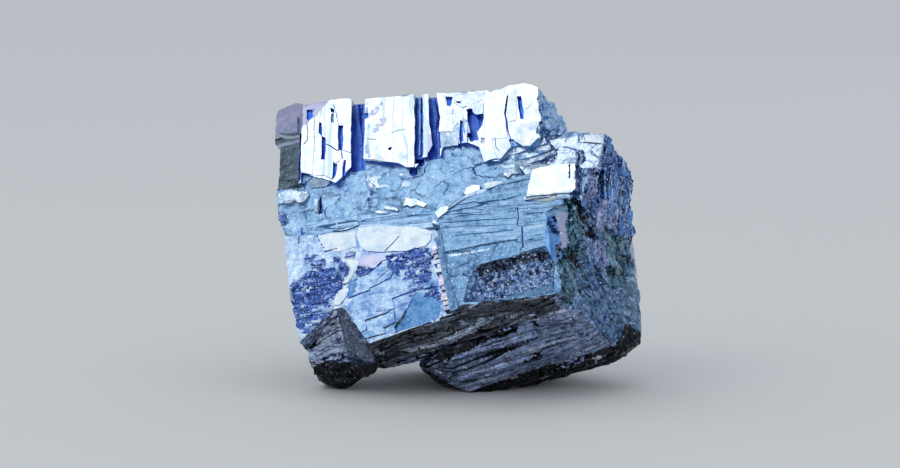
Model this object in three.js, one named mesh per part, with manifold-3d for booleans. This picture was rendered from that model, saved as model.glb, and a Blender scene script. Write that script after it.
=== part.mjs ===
// A galena crystal: one broken lump of intergrown lead sulphide cubes, resting leaned back on three small corners.
// Millimetres. The lump is built in the crystal's own cube axes: x across, y back from the broad front cleavage,
// z up that cleavage. It is then turned and leaned into the attitude it rests in, with +Z up and its base at 0.
import * as THREE from "three";
import { ConvexGeometry } from "three/addons/geometries/ConvexGeometry.js";
import { mergeVertices } from "three/addons/utils/BufferGeometryUtils.js";
import Module from "manifold-3d";

const wasm = await Module();
wasm.setup();

// Driving dimensions.
const TURN = -16.6; // degrees the cube axes turn about their upright, which brings the right side forward
const LEAN = -31.8; // degrees the front cleavage leans back from upright
const REST_HEIGHT = 19.65; // height of the axes' origin above the resting plane
const HOLLOW = 3.3; // clearance under the lump between its three resting corners
const SIDE = 22.5; // across to the right-hand side
const FORWARD = 2; // how far the right-hand cube stands forward of the front cleavage
const SHOULDER = 2; // how far the right shoulder is set back
const BAND_DEPTH = 0.8; // depth of the granular band below the upper plates
const DRUSE_DEPTH = 1.1; // depth of the sparkling recess in the right-hand cube
const LEANING_COLUMN = 1.6; // how far the upper left corner falls back

// A closed solid out of any three.js geometry.
function solid(geometry) {
  geometry.deleteAttribute("normal");
  geometry.deleteAttribute("uv");
  const merged = mergeVertices(geometry, 1e-4);
  const vertProperties = new Float32Array(merged.attributes.position.array);
  const triVerts = new Uint32Array(merged.index.array);
  return new wasm.Manifold(new wasm.Mesh({ numProp: 3, vertProperties, triVerts }));
}

// The convex block that spans the given corners, each [x, y, z].
function block(corners) {
  return solid(new ConvexGeometry(corners.map((corner) => new THREE.Vector3(...corner))));
}

// A box between two values on each axis: a cube grown in line with the lump, or a slot to cut.
function box([left, right], [front, back], [bottom, top]) {
  const geometry = new THREE.BoxGeometry(right - left, back - front, top - bottom);
  geometry.translate((left + right) / 2, (front + back) / 2, (bottom + top) / 2);
  return solid(geometry);
}

// A plate with an outline of [x, z] points, from one depth to another.
function plate(outline, front, back) {
  const shape = new THREE.Shape(outline.map(([x, z]) => new THREE.Vector2(x, z)));
  const geometry = new THREE.ExtrudeGeometry(shape, { depth: back - front, bevelEnabled: false });
  geometry.rotateX(Math.PI / 2);
  geometry.translate(0, back, 0);
  return solid(geometry);
}

// A block whose convex outline changes between two depths, for bevelled plates and recesses.
function tapered(frontOutline, front, backOutline, back) {
  const corners = frontOutline.map(([x, z]) => [x, front, z]);
  return block(corners.concat(backOutline.map(([x, z]) => [x, back, z])));
}

// The front slab of the main cube: the broken top edge, the ragged left edge and the bottom edge.
const frontSlab = plate(
  [
    [-21.5, 21.4],
    [-21.1, 22.1],
    [-18.6, 22.3],
    [-17.4, 21.9],
    [-14.6, 22],
    [-8.5, 21.3],
    [-2.2, 21],
    [9, 20],
    [10.7, 20.4],
    [12.5, 20.5],
    [14, 19.8],
    [14.6, 18.8],
    [14.6, -6],
    [4, -10.3],
    [-8.2, -13.3],
    [-17, -12.2],
    [-18.1, -7.4],
    [-18.8, -2.5],
    [-19.3, 2.7],
    [-20.7, 6],
    [-20.9, 10.2],
    [-20.7, 16.4],
    [-21.6, 17.2],
  ],
  0,
  3,
);

// The bulk of the main cube behind the slab, down to the smooth underside over the arch.
const mainCube = block([
  [-20.8, 2, 20.6],
  [14.6, 2, 19.4],
  [14.4, 2, -6],
  [4, 2, -10.4],
  [-8.2, 1, -13.3],
  [-17, 1, -12],
  [-20.2, 2, 8],
  [-20, 15, 19.4],
  [14.6, 12.6, 19.2],
  [12, 16, 17.6],
  [14, 18, -4],
  [-18.4, 17, 5],
  [-15, 17, -5],
  [-7.6, 8.7, -13],
  [-5.2, 9, -12.3],
  [-16, 9, -12.2],
  [4, 9, -11.6],
]);

// The right shoulder, set back behind the front cleavage, with its flat top and side.
const shoulder = block([
  [8, SHOULDER, 12.6],
  [14.5, SHOULDER, 13.3],
  [17.5, SHOULDER, 13.9],
  [SIDE, SHOULDER, 12.7],
  [SIDE - 0.8, SHOULDER, 8.5],
  [8, SHOULDER, 4],
  [SIDE, 16.4, 13.5],
  [SIDE, 14.4, 8.6],
  [8, 17, 13],
  [8, 16, 0],
  [20, 4, 4],
  [SIDE - 0.4, 15, 4],
]);

// The right-hand cube, grown forward of the front cleavage, in two steps across.
const upperFront = tapered(
  [
    [2, 1.4],
    [4.6, 3.7],
    [7, 4.9],
    [14, 6.7],
    [19.9, 7],
    [19.9, 3.3],
    [18.6, 2],
    [12, 0],
  ],
  -FORWARD,
  [
    [0.6, 1.2],
    [3.4, 4],
    [6, 5.6],
    [14, 7.4],
    [20.3, 7.2],
    [20.3, 2],
    [12, 0],
  ],
  1,
);
const lowerFront = tapered(
  [
    [1.9, 1.6],
    [18.2, 2.4],
    [18.2, -4],
    [17.4, -10.7],
    [4.6, -11],
    [3.2, -6],
  ],
  -FORWARD,
  [
    [0.5, 1.4],
    [18.8, 2.4],
    [18.6, -9.6],
    [16, -11.2],
    [3.9, -10.9],
    [2.6, -9.6],
    [1.6, -4],
  ],
  1,
);
const whitePlate = tapered(
  [
    [13.4, 3.2],
    [14.2, 6.8],
    [16.8, 7.1],
    [19.8, 6.9],
    [19.7, 3.4],
    [19.2, 3],
  ],
  -FORWARD - 0.5,
  [
    [13.2, 3],
    [14, 7],
    [16.8, 7.3],
    [19.9, 7],
    [19.9, 3.3],
    [19.3, 2.8],
  ],
  -FORWARD + 0.2,
);

// The rough right-hand side, widening towards the back.
const sideBlock = block([
  [18, -1, -4],
  [17.4, -1, -10.4],
  [19.7, -1, 3],
  [19.8, -1, 6.8],
  [SIDE - 1, 2.4, 8.4],
  [SIDE, 14.4, 8.6],
  [SIDE, 15.4, 3.1],
  [SIDE, 18.4, 0.4],
  [SIDE, 19.2, -7.5],
  [SIDE, 19, -9.3],
  [18, 5.5, -10.5],
  [17.4, 9.3, -11.9],
  [20.7, 16, -11.4],
  [12, 2, 6],
  [12, 8, -10],
  [12, 18, -8],
  [12, 17, 8],
]);

// The ledge below the right-hand cube and the broad striated underside behind it.
const ledge = block([
  [-6, 0.3, -12.7],
  [3.9, 0.3, -10.4],
  [-3.4, 3.8, -13.1],
  [0.6, 2.6, -13],
  [11.2, 2.2, -11.1],
  [15, 3, -11],
  [-3.4, 7, -12.8],
  [0.1, 4.6, -12.8],
  [11, 4.8, -10.5],
  [16, 4, -9.8],
  [0, 2, -8],
  [14, 2, -8],
]);
const underside = block([
  [0.1, 4.5, -13.4],
  [-3.1, 8, -13.7],
  [10.9, 4.7, -10.9],
  [18, 5.5, -10.5],
  [17.4, 9.3, -11.9],
  [20.7, 16, -11.4],
  [1.9, 11.7, -16.2],
  [5.2, 11.5, -15.3],
  [13.3, 13.6, -12.9],
  [2.9, 13.1, -16.1],
  [6.4, 15.8, -14.7],
  [11, 17.6, -13.5],
  [15.9, 18.2, -12.1],
  [19.4, 18.7, -11.4],
  [-4.1, 9.5, -12.7],
  [-3.8, 10.1, -13.4],
  [-2, 12.3, -15],
  [SIDE - 0.6, 21.7, -8.1],
  [SIDE, 19.2, -7.5],
  [SIDE, 18.4, 0.4],
  [-3, 16, -9],
  [14, 24, -6],
  [14, 23, 2],
  [-2, 19, 3],
  [2, 8, -8],
  [17, 8, -8],
]);
const heel = block([
  [13.6, 1.6, -11.1],
  [17.5, -0.6, -10.6],
  [18, 5.5, -10.6],
  [12, 5, -11.3],
  [17.2, 9, -11.9],
  [12, 8, -12.2],
  [14, 2, -8],
  [17, 2, -8],
]);

// The left foot, and the hidden rear corner.
const leftFoot = block([
  [-8.2, 1, -13.3],
  [-8.2, 4.4, -14.2],
  [-14.6, 5.5, -12.6],
  [-17.5, 4.6, -12.3],
  [-17.4, 7.3, -13.5],
  [-18, 12.9, -12.5],
  [-14.8, 9.8, -15],
  [-12.6, 8.5, -14.2],
  [-9.4, 7.5, -13.9],
  [-17.4, 3, -4],
  [-10, 3, -6],
  [-17, 15, -6],
  [-9, 12, -8],
]);
const rearCorner = block([
  [-12, 14, 10],
  [13, 14, 12],
  [-12, 20, 2],
  [14, 22, 4],
  [-10, 22, -6],
  [1, 29.6, -6.5],
  [6, 31, -5.8],
  [10.6, 29, -6],
  [12, 20, -10],
  [-6, 18, -8],
  [7, 28, 0],
]);

// Smaller cubes grown in line with the lump on its back and top.
const backCubes = [
  box([-16, -6], [10, 19.5], [5, 15.5]),
  box([-8, 5], [12, 20.6], [0, 11.6]),
  box([4, 14.5], [12, 22.4], [-4, 8.2]),
  box([-17.5, -11], [9, 20.8], [-1.5, 7]),
  box([-13, -4.4], [4.6, 11], [14, 20.6]),
  box([3, 10], [5.4, 12.8], [12, 20]),
  box([12, 19.5], [8, 19.4], [-2, 10.8]),
];

// Slots and dropped strips between the upper plates: across, depth, up.
const slots = [
  box([-10.6, -8.8], [-1, 1.5], [11.4, 23]),
  box([-2, -0.9], [-1, 1.6], [11, 23]),
  box([-0.3, 1.4], [-1, 1.3], [11.6, 23]),
  box([5, 7.1], [-1, 1], [13.2, 17.9]),
  box([11.5, 12.5], [-1, 0.9], [15.2, 18.9]),
  box([-15.1, -14.1], [-1, 0.9], [13.3, 18.8]),
  box([-12.3, -11.6], [-1, 0.7], [14.4, 18.1]),
];

// The granular band: sunk below the upper plates, down to the ledge line of the lower face.
const band = plate(
  [
    [-23, 10.4],
    [-17.4, 10.4],
    [-17.4, 11.9],
    [-12.5, 9.8],
    [-10.6, 11.8],
    [-8.8, 12.5],
    [-4, 11.4],
    [-2, 10.4],
    [-0.9, 11.8],
    [1.5, 11.7],
    [1.7, 13],
    [5.1, 13.1],
    [6.6, 12.2],
    [7.2, 10.1],
    [9.2, 9.9],
    [10.8, 11.2],
    [15, 12],
    [15, 4],
    [2, 1],
    [0.6, 1.2],
    [-1.1, 1.9],
    [-6.9, 3.2],
    [-9.4, 3.4],
    [-13.5, 2.8],
    [-23, 3.2],
  ],
  -1,
  BAND_DEPTH,
);

// The front falls back towards the shoulder, and the upper left corner falls back to the side.
const shoulderBevel = block([
  [9, 0, 13],
  [9, 0, 4],
  [15, SHOULDER + 0.4, 12.2],
  [15, SHOULDER + 0.4, 4],
  [15, -1, 12.2],
  [15, -1, 4],
  [9, -1, 11.5],
  [9, -1, 4],
]);
const leftBevel = block([
  [-17.5, 0, 23],
  [-17.5, 0, 10.4],
  [-22, LEANING_COLUMN, 23],
  [-22, LEANING_COLUMN, 10.4],
  [-22, -1, 23],
  [-22, -1, 10.4],
  [-17.5, -1, 23],
  [-17.5, -1, 10.4],
]);

// The sparkling recess, and the chamfer beside it on the right-hand cube.
const druse = tapered(
  [
    [6.4, -5],
    [15.7, -3.6],
    [16.9, -6.1],
    [16.7, -10.2],
    [11.3, -10.5],
    [4.9, -10.1],
    [5.4, -7.3],
  ],
  -FORWARD - 0.1,
  [
    [7, -5.6],
    [15.2, -4.3],
    [16, -6.4],
    [15.9, -9],
    [11.2, -9.5],
    [6, -9.3],
    [6.2, -7.3],
  ],
  -FORWARD + DRUSE_DEPTH,
);
const chamfer = block([
  [15.8, -FORWARD, 1],
  [16.4, -FORWARD, -6],
  [18.4, -FORWARD + 0.9, 2],
  [18.3, -FORWARD + 0.9, -6],
  [18.6, -FORWARD - 1, 2],
  [18.6, -FORWARD - 1, -6],
  [15.8, -FORWARD - 0.1, 1],
  [16.4, -FORWARD - 0.1, -6],
]);

// The notch above the left foot: two facets that meet in a valley.
const notch = block([
  [-11.5, 0, -7.8],
  [-11.6, -1, -7],
  [-8, 0, -13.3],
  [-7.4, -1, -13.6],
  [-8.2, 4.4, -14.2],
  [-14.6, 5.5, -12.6],
  [-17.5, 4.6, -12.4],
  [-16.9, 0, -12.1],
  [-17.4, -1, -12.2],
  [-12, 0, -15.5],
]);

let crystal = frontSlab.add(mainCube).add(shoulder).add(sideBlock);
for (const cube of backCubes) {
  crystal = crystal.add(cube);
}
for (const slot of slots) {
  crystal = crystal.subtract(slot);
}
crystal = crystal.subtract(band).subtract(shoulderBevel).subtract(leftBevel);
crystal = crystal.add(upperFront).add(lowerFront).add(whitePlate).add(ledge);
crystal = crystal.subtract(druse).subtract(chamfer);

// Into the resting attitude.
const turn = new THREE.Matrix4().makeRotationZ(THREE.MathUtils.degToRad(TURN));
const lean = new THREE.Matrix4().makeRotationX(THREE.MathUtils.degToRad(LEAN));
const attitude = new THREE.Matrix4().makeTranslation(0, 0, REST_HEIGHT).multiply(lean).multiply(turn);
const atRest = (solidPiece) => solidPiece.transform(attitude.elements);

// Everything above a level plane at the given height.
function above(height) {
  const size = 200;
  return box([-size, size], [-size, size], [height, height + size]);
}

const bulk = atRest(crystal).intersect(above(HOLLOW));
const feet = atRest(underside.add(heel).add(leftFoot).add(rearCorner)).intersect(above(0));
const lumpSolid = bulk.add(feet).subtract(atRest(notch));

// One mesh, moved so that the middle of its base is the origin.
const mesh = lumpSolid.getMesh();
const geometry = new THREE.BufferGeometry();
geometry.setAttribute("position", new THREE.BufferAttribute(mesh.vertProperties, 3));
geometry.setIndex(new THREE.BufferAttribute(mesh.triVerts, 1));
geometry.computeBoundingBox();
const middle = geometry.boundingBox.getCenter(new THREE.Vector3());
geometry.translate(-middle.x, -middle.y, 0);
geometry.computeVertexNormals();

const galena = new THREE.MeshStandardMaterial({ color: 0x8a97a8, roughness: 0.3, metalness: 1 });
const lump = new THREE.Mesh(geometry, galena);
lump.name = "galena_crystal";

const part = new THREE.Group();
part.name = "galena";
part.add(lump);
export default part;
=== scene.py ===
"""Looks of a galena hand specimen: one broken lump of intergrown lead sulphide cubes.

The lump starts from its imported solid. Cleavage plates, slots and cracks are worked into it in the crystal's
own cube axes, zones of other surface are laid over it, every surface is broken up at the scale its finish
asks for, and each kind of surface is dressed.
"""

import logging
import math
from dataclasses import dataclass, field, replace
from enum import Enum
from functools import partial
from typing import Any, Iterable, Sequence

import bmesh
import bpy
import numpy as np
from mathutils import Matrix, Vector
from mathutils.bvhtree import BVHTree


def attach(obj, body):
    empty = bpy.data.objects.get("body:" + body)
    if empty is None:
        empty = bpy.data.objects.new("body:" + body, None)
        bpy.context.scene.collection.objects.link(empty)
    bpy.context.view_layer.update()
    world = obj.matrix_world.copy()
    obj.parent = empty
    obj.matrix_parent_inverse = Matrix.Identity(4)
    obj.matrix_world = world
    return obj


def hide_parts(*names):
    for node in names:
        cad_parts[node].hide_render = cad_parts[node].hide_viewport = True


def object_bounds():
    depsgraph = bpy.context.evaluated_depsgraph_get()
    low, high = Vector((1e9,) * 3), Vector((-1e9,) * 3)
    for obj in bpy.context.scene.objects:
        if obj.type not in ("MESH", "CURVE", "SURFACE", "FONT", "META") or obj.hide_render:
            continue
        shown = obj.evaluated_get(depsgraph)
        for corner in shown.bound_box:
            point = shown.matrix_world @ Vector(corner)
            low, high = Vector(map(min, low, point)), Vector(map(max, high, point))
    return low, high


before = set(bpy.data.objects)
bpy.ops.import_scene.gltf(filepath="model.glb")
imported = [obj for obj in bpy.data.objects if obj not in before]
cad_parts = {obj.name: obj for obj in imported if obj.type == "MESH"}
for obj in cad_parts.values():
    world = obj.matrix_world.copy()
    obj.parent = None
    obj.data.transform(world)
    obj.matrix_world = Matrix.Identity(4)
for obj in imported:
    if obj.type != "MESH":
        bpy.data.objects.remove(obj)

log = logging.getLogger("galena")

MM = 0.001
CAD_NODE = "galena_crystal"
BODY = "root"
# Sizes in mm of the finest mottling on every finish, and of the bright flecks that are painted as sparkling
# facets. The real ones are finer, and are drawn this coarse so that they show.
MOTTLE = 0.45
SPARK = 0.15
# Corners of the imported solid, and of the worked lump, that are nearer than this many mm are one corner.
SOLID_WELD = 0.0005
WELD = 0.0004
# Angle in radians below which two faces lie in one flat.
IN_ONE_FLAT = 0.005
# Depth in mm in front of the lump that the tool of a pit starts from.
IN_FRONT = -8.0
# Least share of a plate's width that its bevel leaves.
LEAST_LEFT = 0.3
# A plate claims faces that lie within this many mm of its own face and look at least this much to the front.
CLAIM_WITHIN = 0.1
CLAIM_FACING = 0.3
# Least length, and least doubled area, that is divided by.
TINY = 1e-9
TINY_AREA = 1e-12
# Two rounds of stirring, each a factor and a shift, that turn a cell's numbers into chance.
STIRS = ((0x2C1B3C6D, 13), (0x297A2D39, 16))
WORD = 0xFFFFFFFF

Array = np.ndarray
Pair = tuple[float, float]
Triple = tuple[float, float, float]
Outline = tuple[Pair, ...]


def bounds_as_lists() -> list[list[float]]:
    """The object's box as plain lists of numbers."""
    return [[float(value) for value in corner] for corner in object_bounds()]


CAD_BOX = bounds_as_lists()


def placed(name: str, data: Any) -> bpy.types.Object:
    """A new object in the scene that shows a mesh, a light or a camera."""
    thing = bpy.data.objects.new(name, data)
    bpy.context.scene.collection.objects.link(thing)
    return thing


def mesh_of(shape: bmesh.types.BMesh, name: str) -> bpy.types.Mesh:
    """A new mesh with a shape's faces. The shape is given up."""
    mesh = bpy.data.meshes.new(name)
    shape.to_mesh(mesh)
    shape.free()
    return mesh


# ---------------------------------------------------------------- axes and repeatable noise


@dataclass(frozen=True)
class CubeAxes:
    """The axes the cubes grew along: x across, y back from the front cleavage, z up it, in mm.

    Attributes:
        turn: Degrees the axes turn about their upright.
        lean: Degrees the front cleavage leans back.
        origin: Where the axes' origin lies in the part's frame, in mm.
    """

    turn: float = -16.6
    lean: float = -31.8
    origin: Triple = (-3.452, -8.221, 19.65)

    def rotation(self) -> Array:
        """The turn from cube axes to the part's frame."""
        turn = Matrix.Rotation(math.radians(self.turn), 3, "Z")
        return np.array(Matrix.Rotation(math.radians(self.lean), 3, "X") @ turn)

    def inward(self, metres: Array) -> Array:
        """Points of the part's frame, in metres, as cube axes in mm."""
        return (metres / MM - np.array(self.origin)) @ self.rotation()

    def outward(self, mm: Array) -> Array:
        """Points in cube axes, in mm, as the part's frame in metres."""
        return (mm @ self.rotation().T + np.array(self.origin)) * MM


AXES = CubeAxes()


def chance(cells: Sequence[Array], seed: int) -> Array:
    """A repeatable random number from 0 to 1 for each integer cell.

    Args:
        cells: One integer array for each axis.
        seed: Which family of numbers.

    Returns:
        An array like the ones given.
    """
    mask = np.uint64(WORD)
    mixed = np.full(np.shape(cells[0]), (seed * 2654435761 + 97) & WORD, np.uint64)
    for cell in cells:
        mixed = (mixed ^ (np.asarray(cell).astype(np.int64) & WORD).astype(np.uint64)) & mask
        for factor, shift in STIRS:
            mixed = (mixed * np.uint64(factor)) & mask
            mixed = mixed ^ (mixed >> np.uint64(shift))
    return mixed.astype(float) / (WORD + 1)


def swell(places: Array, size: float, seed: int) -> Array:
    """Smooth random height from -1 to 1 over points of any number of axes.

    Args:
        places: Points, one row each.
        size: Distance between one swell and the next.
        seed: Which family of numbers.

    Returns:
        One height a point.
    """
    scaled = places / size
    cell = np.floor(scaled).astype(np.int64)
    part = scaled - cell
    part = part * part * (3 - 2 * part)
    total = np.zeros(len(places))
    axes = places.shape[1]
    for corner in range(2**axes):
        step = np.array([(corner >> axis) & 1 for axis in range(axes)])
        weight = np.prod(np.where(step == 1, part, 1 - part), axis=1)
        total += weight * chance([cell[:, axis] + step[axis] for axis in range(axes)], seed)
    return 2 * total - 1


def ramp(value: Array, low: float, high: float) -> Array:
    """0 below low, 1 above high, and smooth between."""
    part = np.clip((value - low) / (high - low), 0, 1)
    return part * part * (3 - 2 * part)


@dataclass
class Grains:
    """Irregular many-sided grains over a plane.

    Attributes:
        edge: How far inside its own grain each point lies, in grain sizes.
        away: Each point's place from its grain's middle, in mm.
        number: Three random numbers from 0 to 1 for each point's grain.
    """

    edge: Array
    away: Array
    number: Array

    @classmethod
    def over(cls, places: Array, size: float, seed: int) -> "Grains":
        """Grains of about one size over points in a plane.

        Args:
            places: Points, two numbers each, in mm.
            size: Width of a grain in mm.
            seed: Which family of numbers.

        Returns:
            The grain each point is in.
        """
        scaled = places / size
        home = np.floor(scaled).astype(np.int64)
        nearest = np.full(len(places), math.inf)
        second = nearest.copy()
        away = np.zeros((len(places), 2))
        best = home.copy()
        for step_x in (-1, 0, 1):
            for step_y in (-1, 0, 1):
                cell = home + np.array([step_x, step_y])
                jitter = [chance([cell[:, 0], cell[:, 1]], seed + k) for k in (0, 1)]
                offset = scaled - cell - np.stack(jitter, axis=1)
                distance = np.linalg.norm(offset, axis=1)
                closer = distance < nearest
                second = np.where(closer, nearest, np.minimum(second, distance))
                nearest = np.where(closer, distance, nearest)
                away[closer] = offset[closer] * size
                best[closer] = cell[closer]
        number = np.stack([chance([best[:, 0], best[:, 1]], seed + 7 + k) for k in range(3)], axis=1)
        return cls(second - nearest, away, number)

    def tilted(self, slope: float) -> Array:
        """Height of the grains when each is tilted its own way by up to half this slope."""
        return (self.away * (self.number[:, :2] - 0.5)).sum(axis=1) * slope


def blocks(places: Array, size: Pair, seed: int) -> Array:
    """Random height from -1 to 1 for the little oblong block each point is on, laid like brickwork."""
    row = np.floor(places[:, 1] / size[1]).astype(np.int64)
    shift = chance([row], seed) * size[0]
    column = np.floor((places[:, 0] + shift) / size[0]).astype(np.int64)
    return 2 * chance([row, column], seed + 3) - 1


def saw(across: Array, along: Array, period: float, steep: float, seed: int) -> Array:
    """Steps from -0.5 to 0.5 that rise slowly and fall at once, each fading in and out along its length.

    Args:
        across: Distance across the steps in mm.
        along: Distance along them in mm.
        period: Distance from one step to the next in mm.
        steep: Share of each step that is its fall.
        seed: Which family of steps.

    Returns:
        One height a point.
    """
    step = across / period + 0.35 * swell(across[:, None], period * 1.6, seed)
    index = np.floor(step)
    part = step - index
    gate = 0.6 + 0.4 * swell(np.stack([along / 5, index * 1.7], axis=1), 1.0, seed + 1)
    gate *= 0.5 + chance([index.astype(np.int64)], seed + 2)
    return gate * (np.minimum(part / (1 - steep), (1 - part) / steep) - 0.5)


def in_outline(places: Array, outline: Outline) -> Array:
    """Which points lie inside an outline, each given as two numbers."""
    inside = np.zeros(len(places), bool)
    corners = np.array(outline)
    for (ax, ay), (bx, by) in zip(corners, np.roll(corners, -1, axis=0)):
        crosses = (ay > places[:, 1]) != (by > places[:, 1])
        with np.errstate(divide="ignore", invalid="ignore"):
            at = ax + (places[:, 1] - ay) * (bx - ax) / (by - ay)
        inside ^= crosses & (places[:, 0] < at)
    return inside


# ---------------------------------------------------------------- kinds of surface


class Side(Enum):
    """Which way a face of the lump looks: axis, and sign along it."""

    FRONT = (1, -1)
    BACK = (1, 1)
    RIGHT = (0, 1)
    LEFT = (0, -1)
    TOP = (2, 1)
    UNDER = (2, -1)


def side_of(normals: Array) -> Array:
    """Number of the side, in the order of Side, that each normal looks to most."""
    scores = np.stack([normals[:, side.value[0]] * side.value[1] for side in Side], axis=1)
    return np.argmax(scores, axis=1)


class Relief(Enum):
    """How a surface is broken up, each named for the Surfacer's method that does it."""

    SMOOTH = "smooth"
    STACKED = "stacked"
    GRANULAR = "granular"
    CUBELETS = "cubelets"
    STRIATED = "striated"
    DRUSY = "drusy"
    RIDGED = "ridged"
    HACKLY = "hackly"
    COLUMNS = "columns"
    WEATHERED = "weathered"
    BARRED = "barred"
    BULGING = "bulging"


def linear(hexa: str) -> tuple[float, ...]:
    """An sRGB colour like "#8fa3b5" as linear red, green, blue and 1."""
    parts = [int(hexa[k : k + 2], 16) / 255 for k in (1, 3, 5)]
    curve = [p / 12.92 if p <= 0.04045 else ((p + 0.055) / 1.055) ** 2.4 for p in parts]
    return (curve[0], curve[1], curve[2], 1.0)


# Directions the fine cleavage lines run, in cube axes.
ACROSS = (1.0, 0.0, 0.0)
UPWARD = (0.0, 0.0, 1.0)
LEDGE_WAY = (0.974, -0.185, 0.127)
HEEL_WAY = (0.982, -0.01, 0.188)
NOTCH_WAY = (0.944, -0.154, 0.291)
SLANTING = (0.15, 0.89, -0.43)


@dataclass(frozen=True)
class Finish:
    """One finish of lead sulphide: what it is, and how it takes the light.

    Attributes:
        name: Name in plain words.
        light: sRGB colour of its bright parts.
        dark: sRGB colour of its dull parts.
        relief: How its surface is broken up.
        reach: Longest mesh edge on it in mm.
        roughness: Least and most roughness.
        cloud: Size in mm of its patches of tarnish.
        grain: Size in mm of its visible grains.
        grain_share: How much each grain differs in colour, 0 to 1.
        streak: Size in mm across its fine cleavage lines.
        streak_way: Direction its cleavage lines run in.
        streak_share: How strongly the lines show, 0 to 1.
        bump: Height in mm of the finest texture.
        contrast: How fast it passes from dull to bright, 1 being slow.
        balance: Share of it that is dull, 0 to 1.
        fleck: sRGB colour of the odd grain that stands out, a painted sparkle, and of the bright lines,
            painted glints.
        fleck_share: Share of the grains that stand out.
        square: Whether its grains are square like cleavage, or many-sided.
        mottle: How strongly the finest mottling shows, 0 to 1.
        seam: Distance in mm between the long seams along its cleavage lines, or 0 for none.
        seam_dark: sRGB colour of those seams.
        seam_glint: How strongly the bright lines between them show, as painted glints, 0 to 1.
    """

    name: str
    light: str
    dark: str
    relief: Relief = Relief.SMOOTH
    reach: float = 0.7
    roughness: Pair = (0.28, 0.42)
    cloud: float = 1.4
    grain: float = 0.3
    grain_share: float = 0.15
    streak: float = 0.2
    streak_way: Triple = ACROSS
    streak_share: float = 0.2
    bump: float = 0.02
    contrast: float = 2.4
    balance: float = 0.5
    fleck: str = "#ffffff"
    fleck_share: float = 0.0
    square: bool = False
    mottle: float = 0.25
    seam: float = 0.0
    seam_dark: str = "#101c30"
    seam_glint: float = 0.6

    @property
    def smooth(self) -> bool:
        """Whether its facets run together rather than sparkle one by one."""
        return self.relief is Relief.SMOOTH

    def toned(self, name: str, light: str, dark: str, **changes: Any) -> "Finish":
        """A finish like this one, but for its name, its colours and what else is given."""
        return replace(self, name=name, light=light, dark=dark, **changes)


# Galena is lead sulphide, a metal to the eye: lead-grey with a blue cast. Every finish is metallic and keeps
# the default IOR. What differs is how the surface broke, how far it has tarnished, and painted light: the
# near white and the blues are partly painted reflection of a bright, blue sky, and the dark finishes of
# slots, hollows and undersides are painted shade.
# Just cleaved: flat cube faces with a mirror shine. Their near white, brighter than lead-grey, is partly
# painted reflection of a bright sky.
FRESH = Finish("fresh_cleavage", "#e9eff4", "#a6bdd8", roughness=(0.16, 0.28), cloud=1.6, grain=0.9,
    streak=0.15, streak_way=UPWARD, streak_share=0.22, bump=0.01, balance=0.3, square=True, seam=1.4,
    seam_dark="#b4c6da", seam_glint=0.0)
# Cleavage that has stood in air: a thin film turns it lilac-blue, and painted reflection of a blue sky adds
# to the blue.
PALE = Finish("pale_cleavage", "#c4d5e2", "#7292ba", roughness=(0.22, 0.36), cloud=1.7, grain=1.1,
    grain_share=0.18, streak=0.15, streak_share=0.25, bump=0.014, contrast=3.4, fleck="#e9f2f8",
    fleck_share=0.003, square=True, mottle=0.3)
# The same under a thicker film, so bluer, with painted reflection of a blue sky in the blue.
PALE_LOW = PALE.toned("pale_blue_cleavage", "#acc4da", "#5c80ae", streak_share=0.28, contrast=3.6,
    fleck="#dcebf6", fleck_share=0.004)
# Cleavage with hardly a film, creamy under the light.
LENS = FRESH.toned("creamy_cleavage", "#cbd2d3", "#9aafc2", roughness=(0.2, 0.32), cloud=2.0, grain=1.6,
    streak_way=ACROSS, streak_share=0.18, contrast=2.6, balance=0.42, mottle=0.22, seam=0.0)
# Fresh cleavage under a faint grey veil.
VEILED = LENS.toned("veiled_cleavage", "#dde4ee", "#a9b8d2", cloud=1.4, grain=1.2, streak_way=UPWARD,
    streak_share=0.25, balance=0.45, mottle=0.25)
# Grains pulled apart, each tilted its own way, with dark joints.
BAND = Finish("granular_band", "#a9cae2", "#6690bd", Relief.GRANULAR, reach=0.38, cloud=1.5, grain=1.6,
    grain_share=0.2, bump=0.014, contrast=2.2, balance=0.48, fleck="#cfe2f0", fleck_share=0.012,
    mottle=0.45)
# The foot of that band, striped by its growth steps.
BAND_LOW = Finish("striped_band", "#aacae2", "#5b88b6", Relief.STRIATED, reach=0.37, cloud=1.5, grain=0.8,
    streak=0.16, streak_share=0.5, bump=0.014, contrast=2.6, balance=0.45, fleck="#dfebf4",
    fleck_share=0.015, seam=0.8, seam_dark="#35587f")
# Torn, full of cube-shaped pits that hold the light: deep blue, partly painted shade of the pits.
TORN = Finish("torn_patch", "#6a8ed6", "#202e74", Relief.CUBELETS, reach=0.27, roughness=(0.3, 0.5),
    cloud=1.0, grain_share=0.2, streak=0.1, streak_share=0.4, fleck="#b4c6e8", fleck_share=0.09,
    square=True, mottle=0.5, seam=0.45, seam_dark="#1a2260", seam_glint=0.9)
# Growth steps too thin to count run across it as dark lines.
STRIATED = BAND_LOW.toned("striated_face", "#95b9d6", "#4c779f", reach=0.38, cloud=1.8, grain=0.5,
    grain_share=0.1, streak=0.14, streak_share=0.55, contrast=2.8, balance=0.42, fleck="#c6dcec",
    fleck_share=0.004, seam=0.85, seam_dark="#26486c", seam_glint=0.35)
# Crumbs crowded together below the growth steps.
GRAINY = BAND.toned("grainy_face", "#8cb0d0", "#4b76a2", reach=0.36, cloud=1.4, grain=0.35, grain_share=0.3,
    streak=0.16, balance=0.45, fleck="#cfe0ee", fleck_share=0.015)
# Cleavage under a strong blue tarnish, its blue partly painted reflection of a blue sky.
BLUE = LENS.toned("blue_facet", "#79a4cc", "#3f6fa6", roughness=(0.25, 0.36), cloud=1.2, grain=0.9,
    streak_share=0.12, bump=0.014, balance=0.5, fleck="#a9c8e6", fleck_share=0.006, mottle=0.45)
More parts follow.
